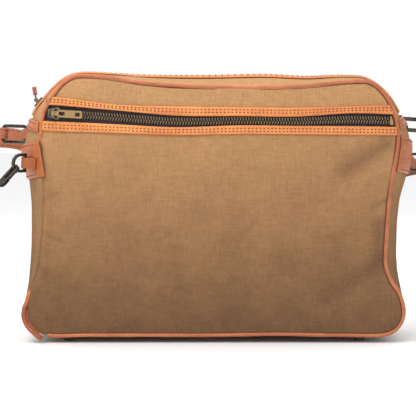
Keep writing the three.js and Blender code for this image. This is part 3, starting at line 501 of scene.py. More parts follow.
def slab(
    top: Array,
    bottom: Array,
    around: bool = False,
    open_cells: Callable[[int, int], bool] | None = None,
) -> Mesh:
    """A closed thin solid between two grids of points.

    Args:
        top: grid of points, columns by rows.
        bottom: the same grid on the other face.
        around: whether the last column joins the first.
        open_cells: says which cells are left out.

    Returns:
        The closed mesh.
    """
    columns, rows = top.shape[:2]
    cells = columns if around else columns - 1
    faces = []
    at = lambda layer, i, j: layer * columns * rows + (i % columns) * rows + j

    def filled(i: int, j: int) -> bool:
        """Whether a cell is part of the solid.

        Args:
            i: the cell's column.
            j: the cell's row.

        Returns:
            True where it is.
        """
        if not (0 <= j < rows - 1 and (around or 0 <= i < cells)):
            return False
        return not (open_cells and open_cells(i % columns, j))

    for i in range(cells):
        for j in range(rows - 1):
            if not filled(i, j):
                continue
            faces.append((at(0, i, j), at(0, i + 1, j), at(0, i + 1, j + 1), at(0, i, j + 1)))
            faces.append((at(1, i, j), at(1, i, j + 1), at(1, i + 1, j + 1), at(1, i + 1, j)))
            if not filled(i, j - 1):
                faces.append((at(0, i + 1, j), at(0, i, j), at(1, i, j), at(1, i + 1, j)))
            if not filled(i, j + 1):
                faces.append(
                    (at(0, i, j + 1), at(0, i + 1, j + 1), at(1, i + 1, j + 1), at(1, i, j + 1))
                )
            if not filled(i - 1, j):
                faces.append((at(0, i, j), at(0, i, j + 1), at(1, i, j + 1), at(1, i, j)))
            if not filled(i + 1, j):
                faces.append(
                    (at(0, i + 1, j + 1), at(0, i + 1, j), at(1, i + 1, j), at(1, i + 1, j + 1))
                )
    return Mesh(np.concatenate([top.reshape(-1, 3), bottom.reshape(-1, 3)]), faces)


def sweep(centres: Array, sides: Array, normals: Array, profile: Array, around: bool = False) -> Mesh:
    """A solid with a profile carried along a path.

    Args:
        centres: the path's points.
        sides: the direction of the profile's first column at each point.
        normals: the direction of its second column.
        profile: points of the profile, or one profile a point.
        around: whether the path is closed.

    Returns:
        The closed mesh.
    """
    shape = np.broadcast_to(profile, (len(centres),) + np.shape(profile)[-2:])
    points = centres[:, None] + sides[:, None] * shape[..., 0:1] + normals[:, None] * shape[..., 1:2]
    count, k = points.shape[:2]
    runs = count if around else count - 1
    faces = []
    for i in range(runs):
        a, b = i * k, ((i + 1) % count) * k
        faces += [(a + j, a + (j + 1) % k, b + (j + 1) % k, b + j) for j in range(k)]
    if not around:
        faces.append(tuple(range(k - 1, -1, -1)))
        faces.append(tuple((count - 1) * k + j for j in range(k)))
    return Mesh(points.reshape(-1, 3), faces)


def scatter(prototype: Mesh, centres: Array, along: Array, normals: Array) -> Mesh:
    """Copies of a small mesh, one at each place.

    Args:
        prototype: the mesh, with x along, y across and z out of the surface.
        centres: where the copies go.
        along: each copy's x direction.
        normals: each copy's z direction, roughly.

    Returns:
        All copies as one mesh.
    """
    x = unit(along)
    y = unit(np.cross(normals, x))
    z = np.cross(x, y)
    local = prototype.vertices
    points = centres[:, None] + local[None, :, 0:1] * x[:, None]
    points = points + local[None, :, 1:2] * y[:, None] + local[None, :, 2:3] * z[:, None]
    size = len(local)
    faces = [tuple(i + n * size for i in face) for n in range(len(centres)) for face in prototype.faces]
    return Mesh(points.reshape(-1, 3), faces)


def lozenge(length: float, width: float, height: float) -> Mesh:
    """A thread stitch: a small spindle along x.

    Args:
        length: tip to tip.
        width: across the surface.
        height: out of the surface.

    Returns:
        The closed mesh.
    """
    angles = np.arange(6) / 6 * 2 * math.pi
    rings = [(-0.36, 0.75), (0.0, 1.0), (0.36, 0.75)]
    points = [(-length / 2, 0, 0)]
    for share, fat in rings:
        points += [
            (share * length, math.cos(a) * width / 2 * fat, math.sin(a) * height / 2 * fat)
            for a in angles
        ]
    points.append((length / 2, 0, 0))
    faces = [(0, 1 + (k + 1) % 6, 1 + k) for k in range(6)]
    for ring in range(2):
        a, b = 1 + 6 * ring, 7 + 6 * ring
        faces += [(a + k, a + (k + 1) % 6, b + (k + 1) % 6, b + k) for k in range(6)]
    faces += [(13 + k, 13 + (k + 1) % 6, 19) for k in range(6)]
    return Mesh(np.array(points, float), faces)


def tooth(length: float, width: float, height: float, ease: float) -> Mesh:
    """A zip tooth: a block along x with its upper edges eased.

    Args:
        length: along x.
        width: across, along y.
        height: out of the tape.
        ease: size of the eased edge.

    Returns:
        The closed mesh.
    """
    corners = [(-1, -1), (1, -1), (1, 1), (-1, 1)]
    levels = [(0.0, 0.0), (height - ease, 0.0), (height, ease)]
    points = [
        (a * (length / 2 - inset), b * (width / 2 - inset), up)
        for up, inset in levels
        for a, b in corners
    ]
    faces = [(3, 2, 1, 0), (8, 9, 10, 11)]
    for level in range(2):
        low, high = 4 * level, 4 * level + 4
        faces += [(low + k, low + (k + 1) % 4, high + (k + 1) % 4, high + k) for k in range(4)]
    return Mesh(np.array(points, float), faces)


def rounded_profile(width: float, thickness: float, crown: float = 0.0, steps: int = 4) -> Array:
    """Outline of a leather strap's section.

    Args:
        width: full width.
        thickness: full thickness.
        crown: how much thicker the middle is.
        steps: points in each rounded edge.

    Returns:
        Points round the section.
    """
    radius = thickness / 2
    right = [
        (width / 2 - radius + radius * math.cos(a), radius * math.sin(a))
        for a in np.linspace(-math.pi / 2, math.pi / 2, steps + 1)
    ]
    left = [(-x, -y) for x, y in right]
    middle_top = [(width / 4, radius + crown), (0, radius + crown), (-width / 4, radius + crown)]
    middle_bottom = [(-x, -y) for x, y in middle_top]
    return np.array(right + middle_top + left + middle_bottom)


def coons(bottom: Array, top: Array, left: Array, right: Array) -> Array:
    """A grid of flat points inside four edges.

    Args:
        bottom: edge from left to right.
        top: edge from left to right.
        left: edge from bottom to top.
        right: edge from bottom to top.

    Returns:
        Points, columns by rows.
    """
    u = np.linspace(0, 1, len(bottom))[:, None, None]
    v = np.linspace(0, 1, len(left))[None, :, None]
    ruled = (1 - v) * bottom[:, None] + v * top[:, None] + (1 - u) * left[None] + u * right[None]
    low = (1 - u) * bottom[0] + u * bottom[-1]
    high = (1 - u) * top[0] + u * top[-1]
    return ruled - (1 - v) * low - v * high


class Socket:
    """A shader value that takes the usual operators."""

    def __init__(self, maker: "NodeMaker", output: bpy.types.NodeSocket) -> None:
        """Wraps an output of a node."""
        self.maker = maker
        self.output = output

    def _math(self, operation: str, a: "Socket | float", b: "Socket | float") -> "Socket":
        """Adds one Math node."""
        return self.maker.add("ShaderNodeMath", {"operation": operation}, {0: a, 1: b})

    def __add__(self, other: "Socket | float") -> "Socket":
        """Sum."""
        return self._math("ADD", self, other)

    __radd__ = __add__

    def __sub__(self, other: "Socket | float") -> "Socket":
        """Difference."""
        return self._math("SUBTRACT", self, other)

    def __rsub__(self, other: float) -> "Socket":
        """A number less this value."""
        return self._math("SUBTRACT", other, self)

    def __mul__(self, other: "Socket | float") -> "Socket":
        """Product."""
        return self._math("MULTIPLY", self, other)

    __rmul__ = __mul__

    def __truediv__(self, other: "Socket | float") -> "Socket":
        """Quotient."""
        return self._math("DIVIDE", self, other)

    def __pow__(self, other: float) -> "Socket":
        """Power."""
        return self._math("POWER", self, other)

    def wave(self) -> "Socket":
        """Sine."""
        return self.maker.add("ShaderNodeMath", {"operation": "SINE"}, {0: self})

    def clamp(self, low: float, high: float) -> "Socket":
        """Share of the way from low to high, held between 0 and 1."""
        values = {"Value": self, "From Min": low, "From Max": high}
        return self.maker.add("ShaderNodeMapRange", {"clamp": True}, values, "Result")


class NodeMaker:
    """Adds nodes to one material."""

    def __init__(self, name: str) -> None:
        """Starts a material with its shader and its coordinates.

        Args:
            name: the material's name.
        """
        self.material = bpy.data.materials.new(name)
        self.material.use_nodes = True
        self.tree = self.material.node_tree
        self.shader = self.tree.nodes["Principled BSDF"]
        self.place = self.add("ShaderNodeTexCoord", {}, {}, "Object")
        self.x, self.y, self.z = (self.add_part(k) for k in "XYZ")

    def add(self, kind: str, settings: dict, values: dict, output: str | int = 0) -> Socket:
        """Adds any node.

        Args:
            kind: the node's type.
            settings: the node's own settings.
            values: numbers, colours or sockets by input name or number.
            output: which output to return.

        Returns:
            The wrapped output.
        """
        node = self.tree.nodes.new(kind)
        for key, value in settings.items():
            setattr(node, key, value)
        for key, value in values.items():
            if isinstance(value, Socket):
                self.tree.links.new(value.output, node.inputs[key])
            else:
                node.inputs[key].default_value = value
        return Socket(self, node.outputs[output])

    def add_part(self, axis: str) -> Socket:
        """One coordinate of the place, in metres."""
        return self.add("ShaderNodeSeparateXYZ", {}, {0: self.place}, axis)

    def noise(
        self,
        scale: float,
        detail: float = 3.0,
        rough: float = 0.55,
        stretch: Sequence[float] = (1, 1, 1),
    ) -> Socket:
        """Noise over the piece.

        Args:
            scale: ripples to the metre.
            detail: octaves.
            rough: weight of the finer octaves.
            stretch: factor on each coordinate.

        Returns:
            The noise from 0 to 1.
        """
        place = self.add(
            "ShaderNodeVectorMath", {"operation": "MULTIPLY"}, {0: self.place, 1: tuple(stretch)}
        )
        return self.add(
            "ShaderNodeTexNoise",
            {},
            {"Vector": place, "Scale": scale, "Detail": detail, "Roughness": rough},
        )

    def cells(self, scale: float) -> Socket:
        """Distance to the nearest grain cell's edge."""
        values = {"Vector": self.place, "Scale": scale}
        return self.add("ShaderNodeTexVoronoi", {"feature": "DISTANCE_TO_EDGE"}, values, "Distance")

    def mix(
        self, factor: Socket | float, a: Socket | tuple, b: Socket | tuple, kind: str = "MIX"
    ) -> Socket:
        """Mixes two colours.

        Args:
            factor: share of the second colour.
            a: first colour.
            b: second colour.
            kind: how they are blended.

        Returns:
            The mixed colour.
        """
        settings = {"data_type": "RGBA", "blend_type": kind}
        return self.add("ShaderNodeMix", settings, {0: factor, 6: a, 7: b}, 2)

    def bump(self, height: Socket, distance: float, strength: float = 1.0) -> None:
        """Feeds a height in metres into the shader's normal.

        Args:
            height: the height from 0 to 1.
            distance: metres that 1 stands for.
            strength: the bump's strength.
        """
        normal = self.add(
            "ShaderNodeBump", {}, {"Height": height, "Distance": distance, "Strength": strength}
        )
        self.feed("Normal", normal)

    def feed(self, name: str, value: Socket | float | tuple) -> None:
        """Sets or links one input of the shader.

        Args:
            name: the input's name.
            value: a socket, number or colour.
        """
        if isinstance(value, Socket):
            self.tree.links.new(value.output, self.shader.inputs[name])
        else:
            self.shader.inputs[name].default_value = value


def srgb(red: int, green: int, blue: int) -> tuple:
    """A display colour as the shader's linear colour.

    Args:
        red: red from 0 to 255.
        green: green from 0 to 255.
        blue: blue from 0 to 255.

    Returns:
        The linear colour with an alpha of 1.
    """
    parts = [c / 255 for c in (red, green, blue)]
    linear = [p / 12.92 if p <= 0.04045 else ((p + 0.055) / 1.055) ** 2.4 for p in parts]
    return (*linear, 1.0)


@dataclass(frozen=True)
class CanvasFinish:
    """Heavy twill canvas: lighter at the top and darker towards the bottom, partly the cloth's own
    grime and partly painted light and shade from above; the left lighter than the right as painted
    light; the ends and the lasting creases darkened with painted shade.
    """

    shift: tuple
    name: str = "canvas"
    thread: tuple = srgb(171, 129, 89)
    # The next colour is partly the cloth's lighter top tone and partly painted light from above; the
    # one after it is partly grime and partly painted shade, low down and on the ends.
    faded: tuple = srgb(196, 152, 106)
    grime_and_painted_shade: tuple = srgb(104, 78, 57)
    # This colour serves both the real stains and the painted shade along the creases.
    stain: tuple = srgb(118, 88, 66)
    rib: float = 1.5

    def near_crease(self, m: "NodeMaker", row: tuple) -> Socket:
        """How near a point is to one lasting crease, from 0 to 1.

        Args:
            m: the material's nodes.
            row: the crease's row of the table.

        Returns:
            The nearness.
        """
        start = (row[0] * HALF_WIDTH, BagShape.height(row[1]))
        end = (row[2] * HALF_WIDTH, BagShape.height(row[3]))
        x0, z0, x1, z1 = (
            (v + s) / 1000 for v, s in zip((*start, *end), (self.shift[0], 0.0, self.shift[0], 0.0))
        )
        length = math.hypot(x1 - x0, z1 - z0)
        ux, uz = (x1 - x0) / length, (z1 - z0) / length
        dx, dz = m.x - x0, m.z - z0
        along = dx * ux + dz * uz
        beyond = (along - length).clamp(0.0, 0.03) * 0.03 + (0 - along).clamp(0.0, 0.03) * 0.03
        off = dz * ux - dx * uz
        distance = (off * off + beyond * beyond) ** 0.5
        wide = row[5] * HALF_WIDTH / 1000
        return (1 - distance.clamp(wide * 0.1, wide * 1.3)) ** 1.6 * (row[4] / 0.4)

    def make(self) -> bpy.types.Material:
        """Builds the material.

        Returns:
            The material.
        """
        m = NodeMaker(self.name)
        turn = 2 * math.pi / (self.rib / 1000)
        wobble = m.noise(120, 2) * 3.0
        rib = ((m.x + m.y + m.z) * turn + wobble).wave() * 0.5 + 0.5
        weft = m.noise(680, 2, 0.6, (0.13, 0.13, 1))
        warp = m.noise(680, 2, 0.6, (1, 1, 0.13))
        coarse = m.noise(360, 2, 0.6)
        weave = rib * 0.3 + weft * 0.36 + warp * 0.36
        patches = m.noise(8, 4, 0.62).clamp(0.36, 0.66)
        mottle = m.noise(30, 5, 0.66).clamp(0.4, 0.7)
        front = (0 - m.y).clamp(0.02, 0.08)
        # Painted light and shade: the colour gets lighter with height and darker towards the bottom,
        # partly real grime and partly the light from above painted in.
        height = m.z.clamp(0.0, 0.26)
        low = (1 - height) ** 1.15
        # Painted light: the lightening at the top fades towards the right, standing for the light
        # falling from the left.
        right = m.x.clamp(-0.16, 0.19)
        # Painted shade: the band's ends, away from the front, darkened for facing away from the light.
        ends = (m.x * m.x).clamp(0.0295, 0.0335)
        colour = m.mix(height * (0.62 - right * 0.3) + patches * 0.2, self.thread, self.faded)
        colour = m.mix(ends * (1 - front) * 0.5, colour, self.grime_and_painted_shade)
        colour = m.mix(low * 0.92 + mottle * low * 0.25, colour, self.grime_and_painted_shade)
        blotch = patches * (0.12 + low * 0.25) + mottle * 0.12
        colour = m.mix(blotch, colour, self.stain)
        spots = 1 - m.noise(62, 3, 0.6).clamp(0.27, 0.4)
        colour = m.mix(spots * 0.22, colour, self.stain)
        # Painted shade: darker along the lasting creases and puckers of the front.
        for row in (*CREASE_ROWS, *PUCKER_ROWS):
            colour = m.mix(self.near_crease(m, row) * front * 1.05, colour, self.stain)
        shade = (weave * 0.88 + coarse * 0.18).clamp(0.36, 0.74)
        dark = m.mix(1.0, colour, (0.74, 0.72, 0.7, 1), "MULTIPLY")
        light = m.mix(1.0, colour, (1.22, 1.2, 1.18, 1), "MULTIPLY")
        m.feed("Base Color", m.mix(shade, dark, light))
        m.feed("Roughness", weave * 0.1 + 0.84)
        m.shader.inputs["Specular IOR Level"].default_value = 0.06
        m.bump(weave * 0.7 + coarse * 0.4, 0.0006, 0.9)
        return m.material


@dataclass(frozen=True)
class LeatherFinish:
    """Tanned leather with pores, darker rubbed places, painted shade with a redder tint of the light
    towards the right end, and a soft shine.
    """

    name: str
    base: tuple
    dark: tuple
    light: tuple
    roughness: float = 0.5
    grain: float = 0.0009
    right_end_painted_shade: float = 0.35

    def make(self) -> bpy.types.Material:
        """Builds the material.

        Returns:
            The material.
        """
        m = NodeMaker(self.name)
        pores = m.cells(0.7 / self.grain).clamp(0.0, 0.18)
        # Painted shade: the right end drawn darker and redder, for the dimmer, warmer light on that
        # side.
        right = m.x.clamp(-0.05, 0.19)
        fine = m.noise(2200, 3, 0.6)
        patches = m.noise(16, 4, 0.62).clamp(0.36, 0.66)
        streaks = m.noise(60, 4, 0.7, (0.4, 0.4, 1.4)).clamp(0.42, 0.72)
        colour = m.mix(patches * 0.7, self.base, self.light)
        colour = m.mix(right * self.right_end_painted_shade, colour, self.dark)
        colour = m.mix(streaks * 0.5, colour, self.dark)
        rubbed = m.noise(140, 3, 0.6).clamp(0.6, 0.74)
        colour = m.mix(rubbed * 0.4, colour, self.dark)
        deep = m.mix(1.0, colour, (0.7, 0.64, 0.6, 1), "MULTIPLY")
        m.feed("Base Color", m.mix(pores, deep, colour))
        m.feed("Roughness", self.roughness + streaks * 0.16 - patches * 0.08)
        m.shader.inputs["Coat Weight"].default_value = 0.08
        m.shader.inputs["Coat Roughness"].default_value = 0.4
        m.bump(pores * 0.7 + fine * 0.3, 0.00022, 0.7)
        return m.material


@dataclass(frozen=True)
class TapeFinish:
    """Dark woven zip tape."""

    name: str = "zip_tape"
    base: tuple = srgb(66, 54, 60)
    worn: tuple = srgb(104, 88, 92)

    def make(self) -> bpy.types.Material:
        """Builds the material.

        Returns:
            The material.
        """
        m = NodeMaker(self.name)
        thread = (m.x * (2 * math.pi / 0.0009)).wave() * 0.5 + 0.5
        lint = m.noise(420, 4, 0.7).clamp(0.5, 0.78)
        colour = m.mix(lint * 0.6, self.base, self.worn)
        shaded = m.mix(1.0, colour, (0.6, 0.58, 0.6, 1), "MULTIPLY")
        m.feed("Base Color", m.mix(thread, shaded, colour))
        m.shader.inputs["Roughness"].default_value = 0.9
        m.bump(thread * 0.6 + lint * 0.4, 0.0002, 0.8)
        return m.material


@dataclass(frozen=True)
class MetalFinish:
    """Aged metal: bright where it is rubbed, dull and dark elsewhere."""

    name: str
    base: tuple
    tarnish: tuple
    bright: tuple
    roughness: float = 0.36

    def make(self) -> bpy.types.Material:
        """Builds the material.

        Returns:
            The material.
        """
        m = NodeMaker(self.name)
        stain = m.noise(170, 5, 0.68).clamp(0.4, 0.64)
        speck = m.noise(900, 3, 0.6).clamp(0.5, 0.72)
        edge = m.add("ShaderNodeNewGeometry", {}, {}, "Pointiness").clamp(0.505, 0.56)
        colour = m.mix(stain, self.base, self.tarnish)
        colour = m.mix(speck * 0.35, colour, self.tarnish)
        m.feed("Base Color", m.mix(edge * 0.7, colour, self.bright))
        m.shader.inputs["Metallic"].default_value = 0.92
        m.feed("Roughness", self.roughness + stain * 0.16 + speck * 0.08)
        m.bump(speck * 0.5 + m.noise(2600, 2) * 0.5, 0.00006, 0.6)
        return m.material


@dataclass(frozen=True)
class ThreadFinish:
    """Waxed sewing thread."""

    name: str
    base: tuple

    def make(self) -> bpy.types.Material:
        """Builds the material.

        Returns:
            The material.
        """
        m = NodeMaker(self.name)
        twist = ((m.x + m.z * 0.6 + m.y * 0.8) * (2 * math.pi / 0.0006)).wave() * 0.5 + 0.5
        dark = m.mix(1.0, self.base, (0.55, 0.52, 0.5, 1), "MULTIPLY")
        m.feed("Base Color", m.mix(twist, dark, self.base))
        m.shader.inputs["Roughness"].default_value = 0.65
        m.bump(twist, 0.00008, 0.6)
        return m.material


class Finishes:
    """All finishes of the bag, made once."""

    def __init__(self, shift: Array) -> None:
        """Builds each material.

        Args:
            shift: the move from the bag's own frame to the model's.
        """
        self.canvas = CanvasFinish(tuple(shift)).make()
        self.welt = LeatherFinish(
            "welt_leather", srgb(226, 138, 66), srgb(186, 96, 58), srgb(246, 168, 88)
        ).make()
        self.piping = LeatherFinish(
            "piping_leather", srgb(192, 104, 60), srgb(134, 68, 44), srgb(226, 142, 84), 0.45
        ).make()
        self.strap = LeatherFinish(
            "strap_leather", srgb(172, 92, 56), srgb(100, 50, 34), srgb(206, 122, 78), 0.46, right_end_painted_shade=0.7
        ).make()
        self.patch = LeatherFinish(
            "patch_leather", srgb(184, 98, 42), srgb(124, 60, 34), srgb(208, 124, 62), 0.45, right_end_painted_shade=0.15
        ).make()
        self.tape = TapeFinish().make()
        self.brass = MetalFinish(
            "brass", srgb(134, 108, 76), srgb(78, 63, 47), srgb(180, 150, 104), 0.44
        ).make()
        self.teeth = MetalFinish(
            "zip_teeth_brass", srgb(114, 96, 72), srgb(58, 50, 45), srgb(150, 132, 100), 0.42
        ).make()
        self.dark = MetalFinish(
            "dark_metal", srgb(76, 70, 63), srgb(36, 33, 31), srgb(134, 126, 112), 0.38
        ).make()
        self.thread = ThreadFinish("thread_brown", srgb(104, 54, 38)).make()


class Workshop:
    """Turns meshes into objects in the model's frame and hangs them on its bodies."""

    def __init__(self, shift: Array) -> None:
        """Keeps the move from the bag's own frame to the model's."""
        self.shift = shift

    def build(
        self,
        name: str,
        mesh: Mesh,
        material: bpy.types.Material,
        slot: str,
        nodes: Sequence[str] = (),
        body: str = "bag",
    ) -> bpy.types.Object:
        """Makes an object.

        Args:
            name: the piece's name.
            mesh: its shape in millimetres.
            material: its finish.
            slot: the record's material slot; passed on to place, which does not use it.
            nodes: CAD nodes that it stands for.
            body: the CAD body that it rides on.

        Returns:
            The new object.
        """
        data = bpy.data.meshes.new(name)
        data.from_pydata(((mesh.vertices + self.shift) / 1000).tolist(), [], mesh.faces)
        data.validate()
        return self.place(bpy.data.objects.new(name, data), material, slot, nodes, body)

    def place(
        self,
        piece: bpy.types.Object,
        material: bpy.types.Material,
        slot: str,
        nodes: Sequence[str],
        body: str,
    ) -> bpy.types.Object:
        """Links, dresses and mounts an object.

        Args:
            piece: the object.
            material: its finish.
            slot: the record's material slot; not used.
            nodes: CAD nodes that it stands for.
            body: the CAD body that it rides on.

        Returns:
            The same object.
        """
        if piece.name not in bpy.context.scene.collection.objects:
            bpy.context.scene.collection.objects.link(piece)
        piece.data.materials.clear()
        piece.data.materials.append(material)
        piece.data.shade_smooth()
        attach(piece, body)
        if nodes:
            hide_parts(*nodes)
        log.info("%s: %d faces on %s", piece.name, len(piece.data.polygons), body)
        return piece

    def sharpen(self, piece: bpy.types.Object, degrees: float = 40.0) -> bpy.types.Object:
        """Keeps edges steeper than an angle crisp in the shading."""
        piece.data.set_sharp_from_angle(angle=math.radians(degrees))
        return piece

    def bevel(
        self,
        node: str,
        name: str,
        material: bpy.types.Material,
        slot: str,
        width: float,
        body: str = "bag",
    ) -> bpy.types.Object:
        """A CAD node with its edges lightly broken.

        Args:
            node: the CAD node.
            name: the new piece's name.
            material: its finish.
            slot: the record's material slot; passed on to place, which does not use it.
            width: width of the broken edge in millimetres.
            body: the CAD body that it rides on.

        Returns:
            The new object.
        """
        work = bpy.data.objects.new(name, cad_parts[node].data.copy())
        bpy.context.scene.collection.objects.link(work)
        edges = work.modifiers.new("edges", "BEVEL")
        edges.width = width / 1000
        edges.segments = 2
        edges.limit_method = "ANGLE"
        edges.angle_limit = math.radians(35)
        graph = bpy.context.evaluated_depsgraph_get()
        eased = bpy.data.meshes.new_from_object(work.evaluated_get(graph))
        work.modifiers.clear()
        work.data = eased
        return self.sharpen(self.place(work, material, slot, [node], body))

    def soften(
        self,
        node: str,
        name: str,
        material: bpy.types.Material,
        slot: str,
        voxel: float,
        rounds: int,
        body: str = "bag",
    ) -> bpy.types.Object:
        """A CAD node with its edges worn round.

        Args:
            node: the CAD node.
            name: the new piece's name.
            material: its finish.
            slot: the record's material slot; passed on to place, which does not use it.
            voxel: size of the new mesh's cells in millimetres.
            rounds: smoothing rounds.
            body: the CAD body that it rides on.

        Returns:
            The new object.
        """
        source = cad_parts[node]
        data = source.data.copy()
        work = bpy.data.objects.new(name, data)
        bpy.context.scene.collection.objects.link(work)
        remesh = work.modifiers.new("cells", "REMESH")
        remesh.mode = "VOXEL"
        remesh.voxel_size = voxel / 1000
        smooth = work.modifiers.new("worn", "SMOOTH")
        smooth.iterations = rounds
        smooth.factor = 0.5
        graph = bpy.context.evaluated_depsgraph_get()
        worn = bpy.data.meshes.new_from_object(work.evaluated_get(graph))
        work.modifiers.clear()
        work.data = worn
        return self.place(work, material, slot, [node], body)


@dataclass
class Panels:
    """The canvas front, split by the pocket zip, and the canvas back."""

    shape: BagShape
    columns: int = 170
    wrinkle: float = 0.9

    def edge(self, start: float, end: float, count: int, back: bool = False) -> Array:
        """A stretch of a seam as flat points.

        Args:
            start: first share of the way round.
            end: last share.
            count: how many points.
            back: whether the back seam is meant.

        Returns:
            Points across and up.
        """
        line = self.shape.seam(np.linspace(start, end, 300), back)
        return resample(line[:, [0, 2]], count)

    def cloth(self, flat: Array, surface: Callable[[Array, Array], Array], out: float) -> Mesh:
        """A wall of canvas over flat points.

        Args:
            flat: points across and up.
            surface: the face it follows.
            out: -1 where the front is outside, 1 for the back.

        Returns:
            The closed mesh.
        """
        x, z = flat[..., 0], flat[..., 1]
        waves = ripple(x, z, 62, 3.1) * self.wrinkle + ripple(x, z, 21, 8.4) * self.wrinkle * 0.35
        inside = np.minimum(1, self.shape.pillow(x * 0.97, (z - 135) * 0.97 + 135) * 3)
        y = surface(x, z) + out * waves * inside
        if out < 0:
            near = np.clip(1 - (x - x[:1]) / 7, 0, 1) * self.shape.rolled_over(x, z)
            x = x - 2.0 * near
            y = y + 4.2 * near**2.2 - 0.7 * near * (1 - near) * 4
        top = np.stack([x, y, z], axis=-1)
        bottom = np.stack([x, y - out * CANVAS_WALL, z], axis=-1)
        return slab(top, bottom)

    def lower_front(self) -> Mesh:
        """The large panel under the zip.

        Returns:
            The closed mesh.
        """
        rows = 110
        left_t = self.shape.seam_at_line(3, Side.LEFT, -1.5)
        right_t = self.shape.seam_at_line(3, Side.RIGHT, -1.5)
        bottom = self.edge(row_share(BOTTOM_LEFT_ROW), row_share(BOTTOM_RIGHT_ROW), self.columns)
        left = self.edge(row_share(BOTTOM_LEFT_ROW), left_t, rows)
        right = self.edge(row_share(BOTTOM_RIGHT_ROW), right_t, rows)
        x = np.linspace(left[-1, 0], right[-1, 0], self.columns)
        top = np.stack([x, self.shape.zip_height(3, x) - 1.5], axis=1)
        top[0], top[-1] = left[-1], right[-1]
        return self.cloth(coons(bottom, top, left, right), self.shape.front_y, -1)

    def upper_front(self) -> Mesh:
        """The panel between the zip and the top seam.

        Returns:
            The closed mesh.
        """
        rows = 22
        left_t = self.shape.seam_at_line(2, Side.LEFT, 1.5)
        right_t = self.shape.seam_at_line(2, Side.RIGHT, 1.5)
        left = self.edge(left_t, row_share(TOP_LEFT_ROW), rows)
        right = self.edge(right_t, row_share(TOP_RIGHT_ROW), rows)
        top = self.edge(row_share(TOP_LEFT_ROW) - 1, row_share(TOP_RIGHT_ROW), self.columns)
        x = np.linspace(left[0, 0], right[0, 0], self.columns)
        bottom = np.stack([x, self.shape.zip_height(2, x) + 1.5], axis=1)
        bottom[0], bottom[-1] = left[0], right[0]
        return self.cloth(coons(bottom, top, left, right), self.shape.front_y, -1)

    def back(self) -> Mesh:
        """The back panel.

        Returns:
            The closed mesh.
        """
        columns, rows = 110, 80
        bottom = self.edge(row_share(BOTTOM_LEFT_ROW), row_share(BOTTOM_RIGHT_ROW), columns, True)
        top = self.edge(row_share(TOP_LEFT_ROW) - 1, row_share(TOP_RIGHT_ROW), columns, True)
        left = self.edge(row_share(BOTTOM_LEFT_ROW), row_share(TOP_LEFT_ROW), rows, True)
        right = self.edge(row_share(BOTTOM_RIGHT_ROW), row_share(TOP_RIGHT_ROW), rows, True)
        return self.cloth(coons(bottom, top, left, right), self.shape.back_y, 1)

    def build(self, shop: Workshop, finishes: Finishes) -> None:
        """Builds and dresses the three panels.

        Args:
            shop: makes the pieces.
            finishes: all finishes of the bag.
        """
        shop.build(
            "front_cloth_lower", self.lower_front(), finishes.canvas, "canvas", ["front_panel_lower"]
        )
        shop.build(
            "front_cloth_upper", self.upper_front(), finishes.canvas, "canvas", ["front_panel_upper"]
        )
        shop.build("back_cloth", self.back(), finishes.canvas, "canvas", ["back_panel"])


@dataclass
class Band:
    """The canvas side band, with the main zip's slot along its top."""

    shape: BagShape
    zip_opening: float = 11.0
    zip_end_left: float = 0.838
    zip_end_right: float = 0.85

    def __post_init__(self) -> None:
        """Finds where the main zip ends."""
        self.end_left = self.shape.side_parameter(Side.LEFT, 0.5, self.shape.height(self.zip_end_left))
        self.end_right = self.shape.side_parameter(
            Side.RIGHT, 0.5, self.shape.height(self.zip_end_right)
        )
        self.slot = self.zip_opening / 2 / BAG_DEPTH

    def folds(self, t: Array, share: Array) -> Array:
        """Depth of the upright folds below the two patches.

        Args:
            t: shares of the way round the seams.
            share: shares of the way from the front seam to the back one.

        Returns:
            The depths in millimetres.
        """
        rows = (t % 1.0) * len(SEAM_ROWS)
        left = np.clip((rows - 29.5) / 2, 0, 1) * np.clip((36 - rows) / 1.2, 0, 1)
        right = np.clip((rows - 10.5) / 1.2, 0, 1) * np.clip((18 - rows) / 2, 0, 1)
        valley = lambda at, wide: np.exp(-(((share - at) / wide) ** 2))
        left_depth = 2.4 * valley(0.2, 0.05) + 1.6 * valley(0.36, 0.05)
        right_depth = 1.8 * valley(0.24, 0.06)
        return left * left_depth + right * right_depth

    def build(self, shop: Workshop, finishes: Finishes) -> None:
        """Builds and dresses the band.

        Args:
            shop: makes the pieces.
            finishes: all finishes of the bag.
        """
        start = (PIPING_RADIUS + GAP + 1.0) / BAG_DEPTH
        edge = 0.5 - self.slot
        half = np.concatenate([np.linspace(0.012, start, 3)[:-1], np.linspace(start, edge, 14)])
        shares = np.concatenate([half, (1 - half)[::-1]])
        ts = np.sort(
            np.concatenate([np.linspace(0, 1, 420, endpoint=False), [self.end_left, self.end_right]])
        )
        left = int(np.searchsorted(ts, self.end_left))
        right = int(np.searchsorted(ts, self.end_right))
        middle = len(half) - 1
        grid_t, grid_s = np.meshgrid(ts, shares, indexing="ij")
        turn = 2 * np.pi * grid_t
        waves = ripple(np.cos(turn) * 160 + grid_s * 90, np.sin(turn) * 160, 26, 5.5)
        rim = np.minimum(1, np.minimum(grid_s, 1 - grid_s) * 9)
        lift = waves * 0.55 * rim - 0.2 - self.folds(grid_t, grid_s)
        mesh = slab(
            self.shape.band(grid_t, grid_s, lift),
            self.shape.band(grid_t, grid_s, lift - CANVAS_WALL),
            True,
            lambda i, j: j == middle and (i >= left or i < right),
        )
        shop.build("side_cloth", mesh, finishes.canvas, "canvas", ["side_band"])


